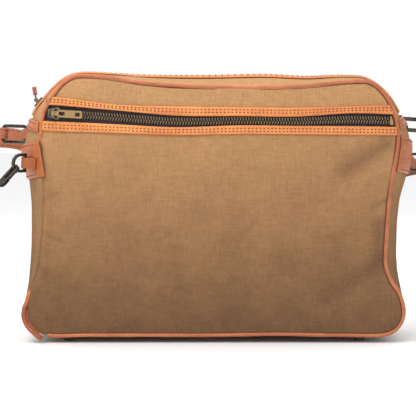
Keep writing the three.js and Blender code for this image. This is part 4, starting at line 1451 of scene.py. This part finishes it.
def tube(
    points: Array, radius: Array | float, sides: int = 12, reference: Sequence[float] = (0, 1, 0)
) -> Mesh:
    """A round tube along points.

    Args:
        points: the path.
        radius: one radius, or one a point.
        sides: points round the tube.
        reference: a direction that the path never follows.

    Returns:
        The closed mesh.
    """
    tangents = unit(np.gradient(points, axis=0))
    side = unit(np.cross(tangents, np.broadcast_to(np.array(reference, float), points.shape)))
    normal = np.cross(side, tangents)
    angles = np.arange(sides) / sides * 2 * math.pi
    circle = np.stack([np.cos(angles), np.sin(angles)], axis=1)
    profile = circle[None] * np.broadcast_to(np.asarray(radius, float), (len(points),))[:, None, None]
    return sweep(points, side, normal, profile)


@dataclass
class Piping:
    """Leather piping round the front and the back, torn off at the front's lower left corner."""

    shape: BagShape
    inset: float = 1.0
    break_row: int = 26
    torn_row: int = 30
    torn_points: int = 26

    def torn_line(self, t: Array, lift: float) -> Array:
        """Points along the loose end.

        Args:
            t: shares of its length.
            lift: how far the points stand behind the front face.

        Returns:
            The points.
        """
        scale = [HALF_WIDTH, PANEL_HEIGHT]
        flat = catmull(np.array(TORN_ROWS) * scale + [0, SEAM_HEIGHT], t, False)
        x, z = flat[:, 0], flat[:, 1]
        return np.stack([x, self.shape.front_y(x, z) + lift, z], axis=1)

    @staticmethod
    def inward(path: Array) -> Array:
        """The direction towards the middle of the face along a path."""
        along = unit(np.gradient(path, axis=0))
        return np.stack([-along[:, 2], np.zeros(len(path)), along[:, 0]], axis=1)

    def line(self) -> tuple[Array, Array]:
        """The front piping's middle line with its loose end.

        Returns:
            The line's points and the piping's radius at each.
        """
        t = np.linspace(row_share(self.break_row), row_share(self.torn_row) - 1, 760)
        sewn = self.shape.seam(t)
        sewn[:, 1] += self.inset
        under = self.shape.rolled_over(sewn[:, 0], sewn[:, 2])
        sewn[:, 0] += under * 2.6
        sewn[:, 1] += under * 3.6
        torn = self.torn_line(np.linspace(0, 1, 40), -PIPING_RADIUS * 0.7)
        path = resample(np.vstack([sewn, torn]), 780)
        place = np.arange(len(path))
        radius = PIPING_RADIUS * (1 + 0.06 * np.sin(place * 0.21) * np.sin(place * 0.057 + 1))
        radius[-self.torn_points:] *= 1.12
        radius[-3:] *= [0.95, 0.8, 0.55]
        return path, radius

    def front(self) -> Mesh:
        """The front piping up to its loose end."""
        path, radius = self.line()
        return tube(path[:-self.torn_points], radius[:-self.torn_points])

    def torn_end(self) -> Mesh:
        """The loose end of the front piping, with the torn flange's notches.

        Returns:
            The closed mesh.
        """
        path, radius = self.line()
        start = -self.torn_points - 2
        return tube(path[start:], radius[start:]).joined(self.comb())

    def comb(self) -> Mesh:
        """The torn flange on the loose end, notched where the stitches were.

        Returns:
            The closed mesh.
        """
        centres = self.torn_line(np.linspace(0.12, 0.97, 15), -0.4)
        inward = self.inward(centres)
        centres = centres + inward * 2.2
        return scatter(
            tooth(4.0, 1.9, 1.0, 0.2), centres, inward, np.broadcast_to([0.0, -1.0, 0.0], centres.shape)
        )

    def seam_edge_and_gap_shade(self) -> Mesh:
        """A dark strip in the gap behind the loose piping: partly the seam's edge and thread, partly
        painted shade in the gap.

        Returns:
            The closed mesh.
        """
        path = self.torn_line(np.linspace(0.0, 0.86, 30), 1.9)
        widths = np.linspace(0.4, 7.0, 5)
        front = path[:, None] + self.inward(path)[:, None] * widths[None, :, None]
        return slab(front, front + np.array([0, 0.8, 0]))

    def back(self) -> Mesh:
        """The back piping.

        Returns:
            The closed mesh.
        """
        start = row_share(23) + 0.002
        path = self.shape.seam(np.linspace(start, start + 0.996, 560), True)
        path[:, 1] -= self.inset
        return tube(path, PIPING_RADIUS, 10)

    def stitch_groove(self) -> Mesh:
        """The dark seam line just inside the front piping.

        Returns:
            The closed mesh.
        """
        t = np.linspace(row_share(self.break_row), row_share(37.6) - 1, 640)
        path = self.shape.seam(t)
        path = path + self.inward(path) * 2.3
        path[:, 1] -= 0.25
        return tube(path, 0.42, 6)

    def build(self, shop: Workshop, finishes: Finishes) -> None:
        """Builds and dresses the piping.

        Args:
            shop: makes the pieces.
            finishes: all finishes of the bag.
        """
        shop.build("front_piping_leather", self.front(), finishes.piping, "leather", ["front_piping"])
        shop.build("torn_piping_end", self.torn_end(), finishes.strap, "leather")
        # Painted shade: a dark strip in the gap behind the loose piping, partly the seam's thread.
        shop.build("torn_seam_edge_and_gap_shade", self.seam_edge_and_gap_shade(), finishes.thread, "canvas")
        shop.build("back_piping_leather", self.back(), finishes.piping, "leather", ["back_piping"])
        shop.build("front_seam_line", self.stitch_groove(), finishes.thread, "leather")


@dataclass
class StripOnFace:
    """A strip of leather or tape that follows the front face between two lines."""

    shape: BagShape
    top: Line
    bottom: Line
    lower: float
    thickness: float
    rounding: float = 0.16
    columns: int = 200
    rows: int = 12

    def ends(self) -> tuple[float, float]:
        """Where the strip reaches the seams at the two ends.

        Returns:
            Places across of the left and the right end.
        """
        x = np.linspace(-HALF_WIDTH, HALF_WIDTH, 800)
        middle = (self.top(x) + self.bottom(x)) / 2
        rows = np.linspace(0, 1, 900)
        seam = self.shape.seam(rows)
        height = float(np.mean(middle))
        left = seam[(seam[:, 0] < 0) & (np.abs(seam[:, 2] - height) < 6), 0].min()
        right = seam[(seam[:, 0] > 0) & (np.abs(seam[:, 2] - height) < 6), 0].max()
        return left + 1.2, right - 1.2

    def grid(self, x: Array, v: Array, lift: Array) -> Array:
        """Points of the strip.

        Args:
            x: across.
            v: share of the way from the bottom line to the top one.
            lift: height over the cloth.

        Returns:
            Points in the bag's frame.
        """
        low, high = self.bottom(x), self.top(x)
        z = low + (high - low) * v
        return np.stack([x, self.shape.front_y(x, z) - lift, z], axis=-1)

    def limit(self, x: Array, v: Array, left: float, right: float) -> Array:
        """Holds the strip's ends to the slanting seams.

        Args:
            x: places across, in millimetres.
            v: shares of the strip's width from its top.
            left: where the left seam is.
            right: where the right seam is.

        Returns:
            The places across, kept between the seams.
        """
        low, high = self.bottom(x), self.top(x)
        z = low + (high - low) * v
        seam = self.shape.seam(np.linspace(0, 1, 1600))
        side_left = seam[(seam[:, 0] < -120) & (seam[:, 2] > 150)]
        side_right = seam[(seam[:, 0] > 120) & (seam[:, 2] > 150)]
        order_left = side_left[np.argsort(side_left[:, 2])]
        order_right = side_right[np.argsort(side_right[:, 2])]
        edge_left = np.interp(z, order_left[:, 2], order_left[:, 0]) + 1.0
        edge_right = np.interp(z, order_right[:, 2], order_right[:, 0]) - 1.0
        share = (x - left) / (right - left)
        return edge_left + (edge_right - edge_left) * share

    def mesh(self) -> Mesh:
        """The closed strip.

        Returns:
            The closed mesh.
        """
        left, right = self.ends()
        xs = np.linspace(left, right, self.columns)
        vs = (1 - np.cos(np.linspace(0, math.pi, self.rows))) / 2
        x, v = np.meshgrid(xs, vs, indexing="ij")
        x = self.limit(x, v, left, right)
        rim = np.minimum(1, np.minimum(v, 1 - v) / self.rounding)
        full = 0.35 + 0.65 * np.sqrt(1 - (1 - rim) ** 2)
        uneven = 1 + 0.08 * ripple(x, v * 12, 14, 2.2)
        upper = self.lower + self.thickness * full * uneven
        return slab(self.grid(x, v, upper), self.grid(x, v, np.full(x.shape, self.lower)))

    def stitches(self, share: float, pitch: float, size: Mesh, lift: float) -> Mesh:
        """A row of stitches at a share of the strip's width from its top.

        Args:
            share: share of the width from the top edge.
            pitch: distance between stitches.
            size: one stitch.
            lift: height of the thread over the cloth.

        Returns:
            All stitches as one mesh.
        """
        left, right = self.ends()
        count = int((right - left - 6) / pitch)
        x = np.linspace(left + 3, right - 3, count)
        points = self.grid(x, np.full(count, 1 - share), np.full(count, lift))
        along = np.gradient(points, axis=0)
        return scatter(size, points, along, np.broadcast_to([0.0, -1.0, 0.0], points.shape))


@dataclass
class PocketZip:
    """The front pocket's zip: two leather welts, tape, teeth, end stop, slider and pull."""

    shape: BagShape
    stitch_pitch: float = 3.7
    tooth_pitch: float = 1.35
    chain_from: float = -0.85
    chain_to: float = 0.945

    def line(self, column: int, shift: float = 0.0) -> Line:
        """A line of the zip as a function of x."""
        return lambda x: self.shape.zip_height(column, x) + shift

    def middle(self, x: Array) -> Array:
        """The chain's middle."""
        return (self.shape.zip_height(2, x) + self.shape.zip_height(3, x)) / 2

    def teeth(self) -> Mesh:
        """Two rows of teeth that mesh along the chain.

        Returns:
            The closed mesh.
        """
        start, end = self.chain_from * HALF_WIDTH + 8, self.chain_to * HALF_WIDTH - 3
        count = int((end - start) / self.tooth_pitch)
        x = np.linspace(start, end, count)
        z = self.middle(x)
        centres = np.stack([x, self.shape.front_y(x, z) + 0.9, z], axis=1)
        along = unit(np.gradient(centres, axis=0))
        normals = np.broadcast_to([0.0, -1.0, 0.0], centres.shape)
        up = np.stack([-along[:, 2], np.zeros(count), along[:, 0]], axis=1)
        side = np.where(np.arange(count) % 2 == 0, 1.0, -1.0)[:, None]
        lean = unit(along + up * side * 0.3)
        block = tooth(1.0, 3.5, 1.7, 0.28)
        return scatter(block, centres + up * side * 1.85, lean, normals)

    def build(self, shop: Workshop, finishes: Finishes) -> None:
        """Builds and dresses the pocket zip.

        Args:
            shop: makes the pieces.
            finishes: all finishes of the bag.
        """
        stitch = lozenge(1.9, 1.1, 0.8)
        thread: Mesh | None = None
        for name, columns, rows in (("upper", (1, 2), (0.31, 0.61)), ("lower", (3, 4), (0.34, 0.68))):
            welt = StripOnFace(
                self.shape, self.line(columns[0]), self.line(columns[1]), CLOTH_GAP, LEATHER_WALL
            )
            shop.build(
                f"pocket_strip_{name}", welt.mesh(), finishes.welt, "leather", [f"pocket_welt_{name}"]
            )
            for share in rows:
                row = welt.stitches(share, self.stitch_pitch, stitch, CLOTH_GAP + LEATHER_WALL + 0.02)
                thread = thread.joined(row) if thread else row
        shop.build("pocket_stitches", thread, finishes.thread, "leather")
        tape = StripOnFace(self.shape, self.line(2, 4), self.line(3, -4), -3.3, 1.0, 0.05)
        shop.build("pocket_tape", tape.mesh(), finishes.tape, "zip_tape", ["pocket_zip_tape"])
        shop.build("pocket_teeth", self.teeth(), finishes.teeth, "brass", ["pocket_zip_chain"])
        shop.bevel("pocket_zip_end_stop", "pocket_end_stop", finishes.brass, "brass", 0.3)
        shop.bevel("pocket_slider", "pocket_slider_worn", finishes.dark, "brass", 0.25)
        shop.bevel("pocket_pull", "pocket_pull_worn", finishes.brass, "brass", 0.22, "pocket_pull")


@dataclass
class PatchOnBand:
    """A strip or patch of leather that lies on the side band."""

    shape: BagShape
    lower: float = CLOTH_GAP
    thickness: float = LEATHER_WALL

    def between(
        self,
        start: Array,
        end: Array,
        shares: Array,
        columns: int,
        rim_u: float,
        rim_v: float,
        lip: tuple | None = None,
    ) -> Mesh:
        """A closed patch.

        Args:
            start: first share of the way round, one for each share across.
            end: last share of the way round.
            shares: shares from front to back.
            columns: how many points along.
            rim_u: rounded part at the ends, as a share.
            rim_v: rounded part at the sides, as a share.
            lip: how far it laps over the front seam at its top and bottom.

        Returns:
            The closed mesh.
        """
        u = np.linspace(0, 1, columns)[:, None]
        t = start[None] + (end - start)[None] * u
        s = np.broadcast_to(shares[None], t.shape)
        v = np.linspace(0, 1, len(shares))[None]
        soft = lambda w, r: np.sqrt(
            1 - (1 - np.minimum(1, np.minimum(w, 1 - w) / r)) ** 2
        ) if r else np.ones_like(w)
        full = 0.3 + 0.7 * soft(u, rim_u) * soft(v, rim_v)
        top = self.shape.band(t, s, self.lower + self.thickness * full)
        bottom = self.shape.band(t, s, self.lower)
        if lip:
            seam = self.shape.seam(t[:, 0])
            down = np.clip((seam[:, 2].max() - seam[:, 2]) / np.ptp(seam[:, 2]), 0, 1)
            reach = lip[0] + (lip[1] - lip[0]) * down
            for part in (0.5, 1.0):
                out = seam + np.stack(
                    [-3.0 * (1 - part) + reach * part, -1.6 - 1.0 * part + 0 * down, 0 * down], axis=1
                )
                inner = out + np.array([0.5, 1.3, 0.0])
                top = np.concatenate([out[:, None], top], axis=1)
                bottom = np.concatenate([inner[:, None], bottom], axis=1)
        return slab(top, bottom)


@dataclass
class TopZip:
    """The main zip along the top of the band: welts, tape, teeth, slider, pull and tab."""

    band: Band
    welt_width: float = 9.5
    tooth_pitch: float = 1.6

    def build(self, shop: Workshop, finishes: Finishes) -> None:
        """Builds and dresses the main zip.

        Args:
            shop: makes the pieces.
            finishes: all finishes of the bag.
        """
        shape = self.band.shape
        run = (self.band.end_left - 1 + 0.004, self.band.end_right - 0.004)
        inner = self.band.slot - 1.5 / BAG_DEPTH
        outer = self.band.slot + self.welt_width / BAG_DEPTH
        patch = PatchOnBand(shape)
        thread: Mesh | None = None
        for name, low, high in (
            ("front", 0.5 - outer, 0.5 - inner), ("back", 0.5 + inner, 0.5 + outer)
        ):
            shares = np.linspace(low, high, 11)
            ends = (np.full(11, run[0]), np.full(11, run[1]))
            shop.build(
                f"top_strip_{name}",
                patch.between(*ends, shares, 240, 0.0, 0.16),
                finishes.welt,
                "leather",
                [f"top_welt_{name}"],
            )
            for part in (0.3, 0.66):
                t = np.linspace(run[0] + 0.003, run[1] - 0.003, 118)
                share = np.full(len(t), low + (high - low) * part)
                points = shape.band(t, share, patch.lower + patch.thickness + 0.02)
                normals = points - shape.band(t, share, 0.0)
                row = scatter(lozenge(1.9, 1.05, 0.8), points, np.gradient(points, axis=0), normals)
                thread = thread.joined(row) if thread else row
        shop.build("top_stitches", thread, finishes.thread, "leather")
        tape = PatchOnBand(shape, -3.3, 1.0)
        reach = self.band.slot + 4 / BAG_DEPTH
        shares = np.linspace(0.5 - reach, 0.5 + reach, 7)
        mesh = tape.between(np.full(7, run[0]), np.full(7, run[1]), shares, 200, 0.0, 0.0)
        shop.build("top_tape", mesh, finishes.tape, "zip_tape", ["top_zip_tape"])
        count = int(430 / self.tooth_pitch)
        t = np.linspace(run[0] + 0.002, run[1] - 0.002, count)
        side = np.where(np.arange(count) % 2 == 0, 1.0, -1.0)
        points = shape.band(t, 0.5 + side * 1.85 / BAG_DEPTH, -1.4)
        centre = shape.band(t, np.full(count, 0.5), -1.4)
        normals = shape.band(t, np.full(count, 0.5), 1.0) - centre
        teeth = scatter(tooth(1.15, 3.5, 1.7, 0.32), points, np.gradient(centre, axis=0), normals)
        shop.build("top_teeth", teeth, finishes.teeth, "brass", ["top_zip_chain"])
        shop.bevel("top_slider", "top_slider_worn", finishes.dark, "brass", 0.25)
        shop.bevel("top_pull", "top_pull_worn", finishes.dark, "dark_metal", 0.2, "top_pull")
        shop.soften(
            "top_pull_tab", "top_pull_leather", finishes.strap, "strap_leather", 0.25, 4, "top_pull"
        )


@dataclass
class SideTrim:
    """Leather on the two ends: crosspieces, tall patches, ring anchors and D-ring keepers."""

    band: Band
    crosspiece_width: float = 10.0
    patch_height: float = 35.0
    rise: float = 5.0
    sag: float = 4.0

    def lip(self, side: Side, height: float) -> tuple[float, float] | None:
        """How far a patch laps over the front seam at its top and bottom."""
        return (-2.2, 1.9) if side is Side.LEFT and height > 20 else None

    def leather(self, side: Side, top: float, height: float, sag: float) -> Mesh:
        """A patch right across one end.

        Args:
            side: which end.
            top: height of the upper edge in the middle.
            height: its height.
            sag: how much higher its ends lie.

        Returns:
            The closed mesh.
        """
        shape = self.band.shape
        start = (PIPING_RADIUS + GAP + 1.0) / BAG_DEPTH + 0.004
        shares = np.concatenate([[0.022], np.linspace(start, 1 - start, 25)])
        edges = []
        for share in shares:
            rise = sag * (1 - math.sin(math.pi * share))
            pair = [
                shape.side_parameter(side, float(share), top + rise - down * height) for down in (0, 1)
            ]
            edges.append(sorted(pair))
        ends = np.array(edges)
        return PatchOnBand(shape).between(
            ends[:, 0], ends[:, 1], shares, 22, 0.09, 0.03, self.lip(side, height)
        )

    def stitch_rows(self, side: Side, top: float, height: float, sag: float, inset: float) -> Mesh:
        """Stitches along the upper and lower edge of a patch.

        Args:
            side: which end.
            top: height of the upper edge in the middle.
            height: its height.
            sag: how much higher its ends lie.
            inset: distance of the stitches from the edge.

        Returns:
            The stitches as one mesh.
        """
        shape = self.band.shape
        found: Mesh | None = None
        lift = CLOTH_GAP + LEATHER_WALL + 0.05
        for down in (inset, height - inset):
            shares = np.linspace(0.07, 0.93, 25)
            points = []
            for share in shares:
                rise = sag * (1 - math.sin(math.pi * share))
                t = shape.side_parameter(side, float(share), top + rise - down)
                points.append(shape.band(np.array([t]), np.array([share]), lift)[0])
            line = np.array(points)
            normals = np.tile([float(side.value), 0.0, 0.1], (len(line), 1))
            row = scatter(lozenge(1.9, 1.05, 0.8), line, np.gradient(line, axis=0), normals)
            found = found.joined(row) if found else row
        return found

    def build(self, shop: Workshop, finishes: Finishes) -> None:
        """Builds and dresses the trim of both ends.

        Args:
            shop: makes the pieces.
            finishes: all finishes of the bag.
        """
        shape = self.band.shape
        crosspiece_top = {
            Side.LEFT: shape.height(self.band.zip_end_left) + 1,
            Side.RIGHT: shape.height(self.band.zip_end_right) + 1,
        }
        patch_top = {Side.LEFT: shape.height(0.737), Side.RIGHT: shape.height(0.757)}
        for side in Side:
            cross = self.leather(side, crosspiece_top[side], self.crosspiece_width, -self.rise)
            shop.build(
                f"cross_leather_{side.word}",
                cross,
                finishes.patch,
                "leather",
                [f"crosspiece_{side.word}"],
            )
            patch = self.leather(side, patch_top[side], self.patch_height, self.sag)
            shop.build(
                f"patch_leather_{side.word}",
                patch,
                finishes.patch,
                "leather",
                [f"side_patch_{side.word}"],
            )
            thread = self.stitch_rows(side, patch_top[side], self.patch_height, self.sag, 3.0)
            thread = thread.joined(
                self.stitch_rows(side, crosspiece_top[side], self.crosspiece_width, -self.rise, 2.4)
            )
            shop.build(f"patch_stitches_{side.word}", thread, finishes.thread, "leather")
            shop.soften(
                f"strap_anchor_{side.word}",
                f"anchor_leather_{side.word}",
                finishes.strap,
                "strap_leather",
                0.35,
                5,
            )
            shop.soften(
                f"d_ring_keeper_{side.word}",
                f"keeper_leather_{side.word}",
                finishes.patch,
                "leather",
                0.35,
                5,
            )
            shop.soften(
                f"strap_ring_{side.word}",
                f"ring_metal_{side.word}",
                finishes.dark,
                "dark_metal",
                0.3,
                6,
            )
            shop.soften(
                f"d_ring_{side.word}", f"d_ring_metal_{side.word}", finishes.dark, "dark_metal", 0.28, 6
            )
        shop.soften("snap_hook", "snap_hook_metal", finishes.dark, "dark_metal", 0.25, 6)
        shop.soften(
            "snap_hook_gate", "snap_hook_gate_metal", finishes.dark, "dark_metal", 0.22, 3, "hook_gate"
        )


@dataclass
class Strap:
    """The leather shoulder strap, from ring to ring behind the bag."""

    shape: BagShape
    width: float = 22.0
    thickness: float = 2.6
    tongue: float = 11.6
    reach: float = 272.0
    bow: float = 128.0
    fold: float = 27.0
    wire: float = 1.6
    ring_length: float = 27.0

    def ring(self, side: Side) -> tuple[Array, Array, Array]:
        """The outer bar's middle, the direction away from the bag and the bar's direction.

        Args:
            side: which end.

        Returns:
            A point, the direction away and the bar's direction.
        """
        y, up, base, lean, dip = RING_ROWS[side.word]
        z = self.shape.height(up)
        centre = self.shape.side_point(side, y, z, base)
        out = unit(self.shape.side_point(side, y, z, base + 1) - centre)
        tilt = math.radians(lean)
        bar = np.array([0.0, math.sin(tilt), math.cos(tilt)])
        wide = unit(bar - out * (bar @ out))
        bend = self.wire * 1.36 + GAP + LEATHER_WALL / 2
        centre = centre + out * (LEATHER_WALL + bend + 0.85)
        away = np.array([side.value * math.cos(math.radians(dip)), 0.0, -math.sin(math.radians(dip))])
        away = unit(away - wide * (away @ wide))
        return centre + away * (self.ring_length - 2 * self.wire), away, wide

    def half(self, side: Side) -> list[tuple[Array, Array, float]]:
        """Stations of one half: point, width direction and width.

        Args:
            side: which end.

        Returns:
            The stations from the tongue's tip to the last row.
        """
        centre, away, wide = self.ring(side)
        normal = np.cross(away, wide)
        bend = self.wire * 1.36 + GAP + self.thickness / 2
        local = lambda out, off: centre + away * out + normal * (off * side.value)
        folded = lambda sign: [local(out * self.fold, sign * off * bend) for out, off in FOLD_ROWS]
        arc = [
            local(-math.cos(a) * bend, math.sin(a) * bend)
            for a in np.linspace(-math.pi / 2, math.pi / 2, 7)
        ]
        tail = [(p, wide, self.tongue if i else self.tongue * 0.8) for i, p in enumerate(folded(1))]
        turn = [(p, wide, self.tongue) for p in arc]
        grow = (0.0, 0.0, 2.0, 4.0)
        start = [(p, wide, self.tongue + grow[i]) for i, p in enumerate(folded(-1)[::-1])]
        _, up, _, lean, _ = RING_ROWS[side.word]
        ring_z = self.shape.height(up)
        rows = STRAP_ROWS[side.word]
        route = [
            np.array([side.value * a * self.reach, b * self.bow, max(u * ring_z, self.thickness / 2)])
            for a, b, u, _ in rows
        ]
        points = np.array([start[-2][0], start[-1][0], *route])
        leans = [lean, lean, *[row[3] for row in rows]]
        count = len(leans) - 1
        stations = [*tail, *turn, *start]
        for i in range(1, count):
            for part in (0.5, 1.0):
                t = (i + part) / count
                at = catmull(points, np.array([t]), False)[0]
                ahead = catmull(points, np.array([min(1, t + 1e-3)]), False)[0]
                behind = catmull(points, np.array([t - 1e-3]), False)[0]
                tangent = unit(ahead - behind)
                angle = math.radians(leans[i] + (leans[i + 1] - leans[i]) * part)
                upright = unit(np.array([0.0, 0.0, 1.0]) - tangent * tangent[2])
                level = np.cross(tangent, upright)
                across = upright * math.cos(angle) + level * (-math.sin(angle) * side.value)
                at[2] = max(at[2], (abs(across[2]) * self.width + self.thickness) / 2)
                stations.append((at, across, self.width - 2 if i == 1 and part < 1 else self.width))
        return stations

    def refine(
        self, stations: list[tuple[Array, Array, float]], times: int
    ) -> tuple[Array, Array, Array]:
        """Smooth stations between the given ones.

        Args:
            stations: points, width directions and widths.
            times: new stations for each old one.

        Returns:
            Points, width directions and widths.
        """
        centres = np.array([s[0] for s in stations])
        wides = np.array([s[1] for s in stations])
        for i in range(1, len(wides)):
            if wides[i] @ wides[i - 1] < 0:
                wides[i] = -wides[i]
        widths = np.array([[s[2]] for s in stations])
        t = np.linspace(0, 1, times * (len(stations) - 1) + 1)
        at = catmull(centres, t, False)
        i = np.minimum((t * (len(stations) - 1)).astype(int), len(stations) - 2)
        w = (t * (len(stations) - 1) - i)[:, None]
        directions = unit(wides[i] * (1 - w) + wides[i + 1] * w)
        return at, directions, (widths[i] * (1 - w) + widths[i + 1] * w)[:, 0]

    def build(self, shop: Workshop, finishes: Finishes) -> None:
        """Builds and dresses the strap and its stitches.

        Args:
            shop: makes the pieces.
            finishes: all finishes of the bag.
        """
        left, right = self.half(Side.LEFT), self.half(Side.RIGHT)
        middle = (np.array([0.0, self.bow, self.thickness / 2]), np.array([0.0, 1.0, 0.0]), self.width)
        at, wide, widths = self.refine([*left, middle, *right[::-1]], 7)
        tangent = unit(np.gradient(at, axis=0))
        side = unit(wide - tangent * np.sum(wide * tangent, axis=1, keepdims=True))
        normal = np.cross(tangent, side)
        profile = np.array([rounded_profile(w, self.thickness * 0.92, 0.1) for w in widths])
        shop.build(
            "strap_leather",
            sweep(at, side, normal, profile),
            finishes.strap,
            "strap_leather",
            ["shoulder_strap"],
        )
        length = np.linalg.norm(np.diff(at, axis=0), axis=1).sum()
        log.info("strap length %.0f mm", length)
        count = int(length / 4.2)
        line = np.linspace(0, len(at) - 1, count)
        take = lambda values: np.stack(
            [np.interp(line, np.arange(len(at)), values[:, k]) for k in range(3)], axis=1
        )
        points, across, out = take(at), unit(take(side)), unit(take(normal))
        half = np.interp(line, np.arange(len(at)), widths) / 2 - 2.6
        thread: Mesh | None = None
        for edge in (-1, 1):
            for face in (-1, 1):
                place = points + across * (edge * half)[:, None] + out * (face * self.thickness * 0.48)
                row = scatter(lozenge(2.6, 0.7, 0.55), place, np.gradient(points, axis=0), out * face)
                thread = thread.joined(row) if thread else row
        shop.build("strap_stitches", thread, finishes.thread, "strap_leather")


@dataclass
class Feet:
    """Four small metal feet, left as they are and finished."""

    def build(self, finishes: Finishes) -> None:
        """Dresses the feet.

        Args:
            finishes: all finishes of the bag.
        """
        for name in ("foot_front_left", "foot_front_right", "foot_back_left", "foot_back_right"):
            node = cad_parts[name]
            node.data.materials.clear()
            node.data.materials.append(finishes.dark)
            log.info("%s: finished", name)


@dataclass
class Studio:
    """Camera, floor and light."""

    shift: Array
    eye: tuple = (-5.92, -1300.0, 195.0)
    target: tuple = (-5.92, -50.0, 133.4)
    lens: float = 110.4
    lights: tuple = (
        ("key", (-0.7, -1.2, 1.7), 0.8, 19.0),
        ("fill", (1.5, -1.8, 0.8), 1.6, 2.0),
        ("top", (-0.1, 0.2, 1.6), 1.2, 9.0),
    )

    def camera(self) -> None:
        """Sets the camera where the photograph was taken."""
        data = bpy.data.cameras.new("camera")
        data.lens = self.lens
        data.sensor_width = 36
        data.clip_end = 50
        camera = bpy.data.objects.new("camera", data)
        camera.location = (np.array(self.eye) + self.shift) / 1000
        camera.rotation_euler = (
            Vector(self.target) - Vector(self.eye)
        ).to_track_quat("-Z", "Y").to_euler()
        bpy.context.scene.collection.objects.link(camera)
        bpy.context.scene.camera = camera

    def floor(self) -> None:
        """Lays a plain pale floor."""
        half = 30.0
        data = bpy.data.meshes.new("floor")
        data.from_pydata(
            [(-half, -half, 0), (half, -half, 0), (half, half, 0), (-half, half, 0)], [], [(0, 1, 2, 3)]
        )
        floor = bpy.data.objects.new("floor", data)
        bpy.context.scene.collection.objects.link(floor)
        material = bpy.data.materials.new("floor_white")
        material.use_nodes = True
        shader = material.node_tree.nodes["Principled BSDF"]
        shader.inputs["Base Color"].default_value = (0.9, 0.9, 0.9, 1)
        shader.inputs["Roughness"].default_value = 0.8
        data.materials.append(material)

    def light(self) -> None:
        """Hangs soft lamps and sets a bright even sky."""
        for name, place, size, power in self.lights:
            data = bpy.data.lights.new(name, "AREA")
            data.shape = "SQUARE"
            data.size = size
            data.energy = power
            lamp = bpy.data.objects.new(name, data)
            lamp.location = place
            lamp.rotation_euler = (
                Vector((0, 0, 0.12)) - Vector(place)
            ).to_track_quat("-Z", "Y").to_euler()
            bpy.context.scene.collection.objects.link(lamp)
        world = bpy.data.worlds.new("sky")
        world.use_nodes = True
        world.node_tree.nodes["Background"].inputs[0].default_value = (1, 1, 1, 1)
        world.node_tree.nodes["Background"].inputs[1].default_value = 1.0
        bpy.context.scene.world = world
        bpy.context.scene.view_settings.view_transform = "Standard"

    def build(self) -> None:
        """Sets up the studio."""
        self.camera()
        self.floor()
        self.light()


def measured_shift() -> Array:
    """The move from the bag's own frame to the model's, read from one foot."""
    low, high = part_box("foot_front_left")
    return (np.array(low) + np.array(high)) * 500 * [1, 1, 0] - [-FOOT_ACROSS, -FOOT_BACK, 0]


def main() -> None:
    """Builds the whole look in order."""
    logging.basicConfig(level=logging.INFO, format="%(message)s")
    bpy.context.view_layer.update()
    shift = measured_shift()
    Studio(shift).build()
    shape = BagShape()
    shop = Workshop(shift)
    finishes = Finishes(shift)
    Panels(shape).build(shop, finishes)
    band = Band(shape)
    band.build(shop, finishes)
    Piping(shape).build(shop, finishes)
    PocketZip(shape).build(shop, finishes)
    TopZip(band).build(shop, finishes)
    SideTrim(band).build(shop, finishes)
    Strap(shape).build(shop, finishes)
    Feet().build(finishes)


if __name__ == "__main__":
    main()
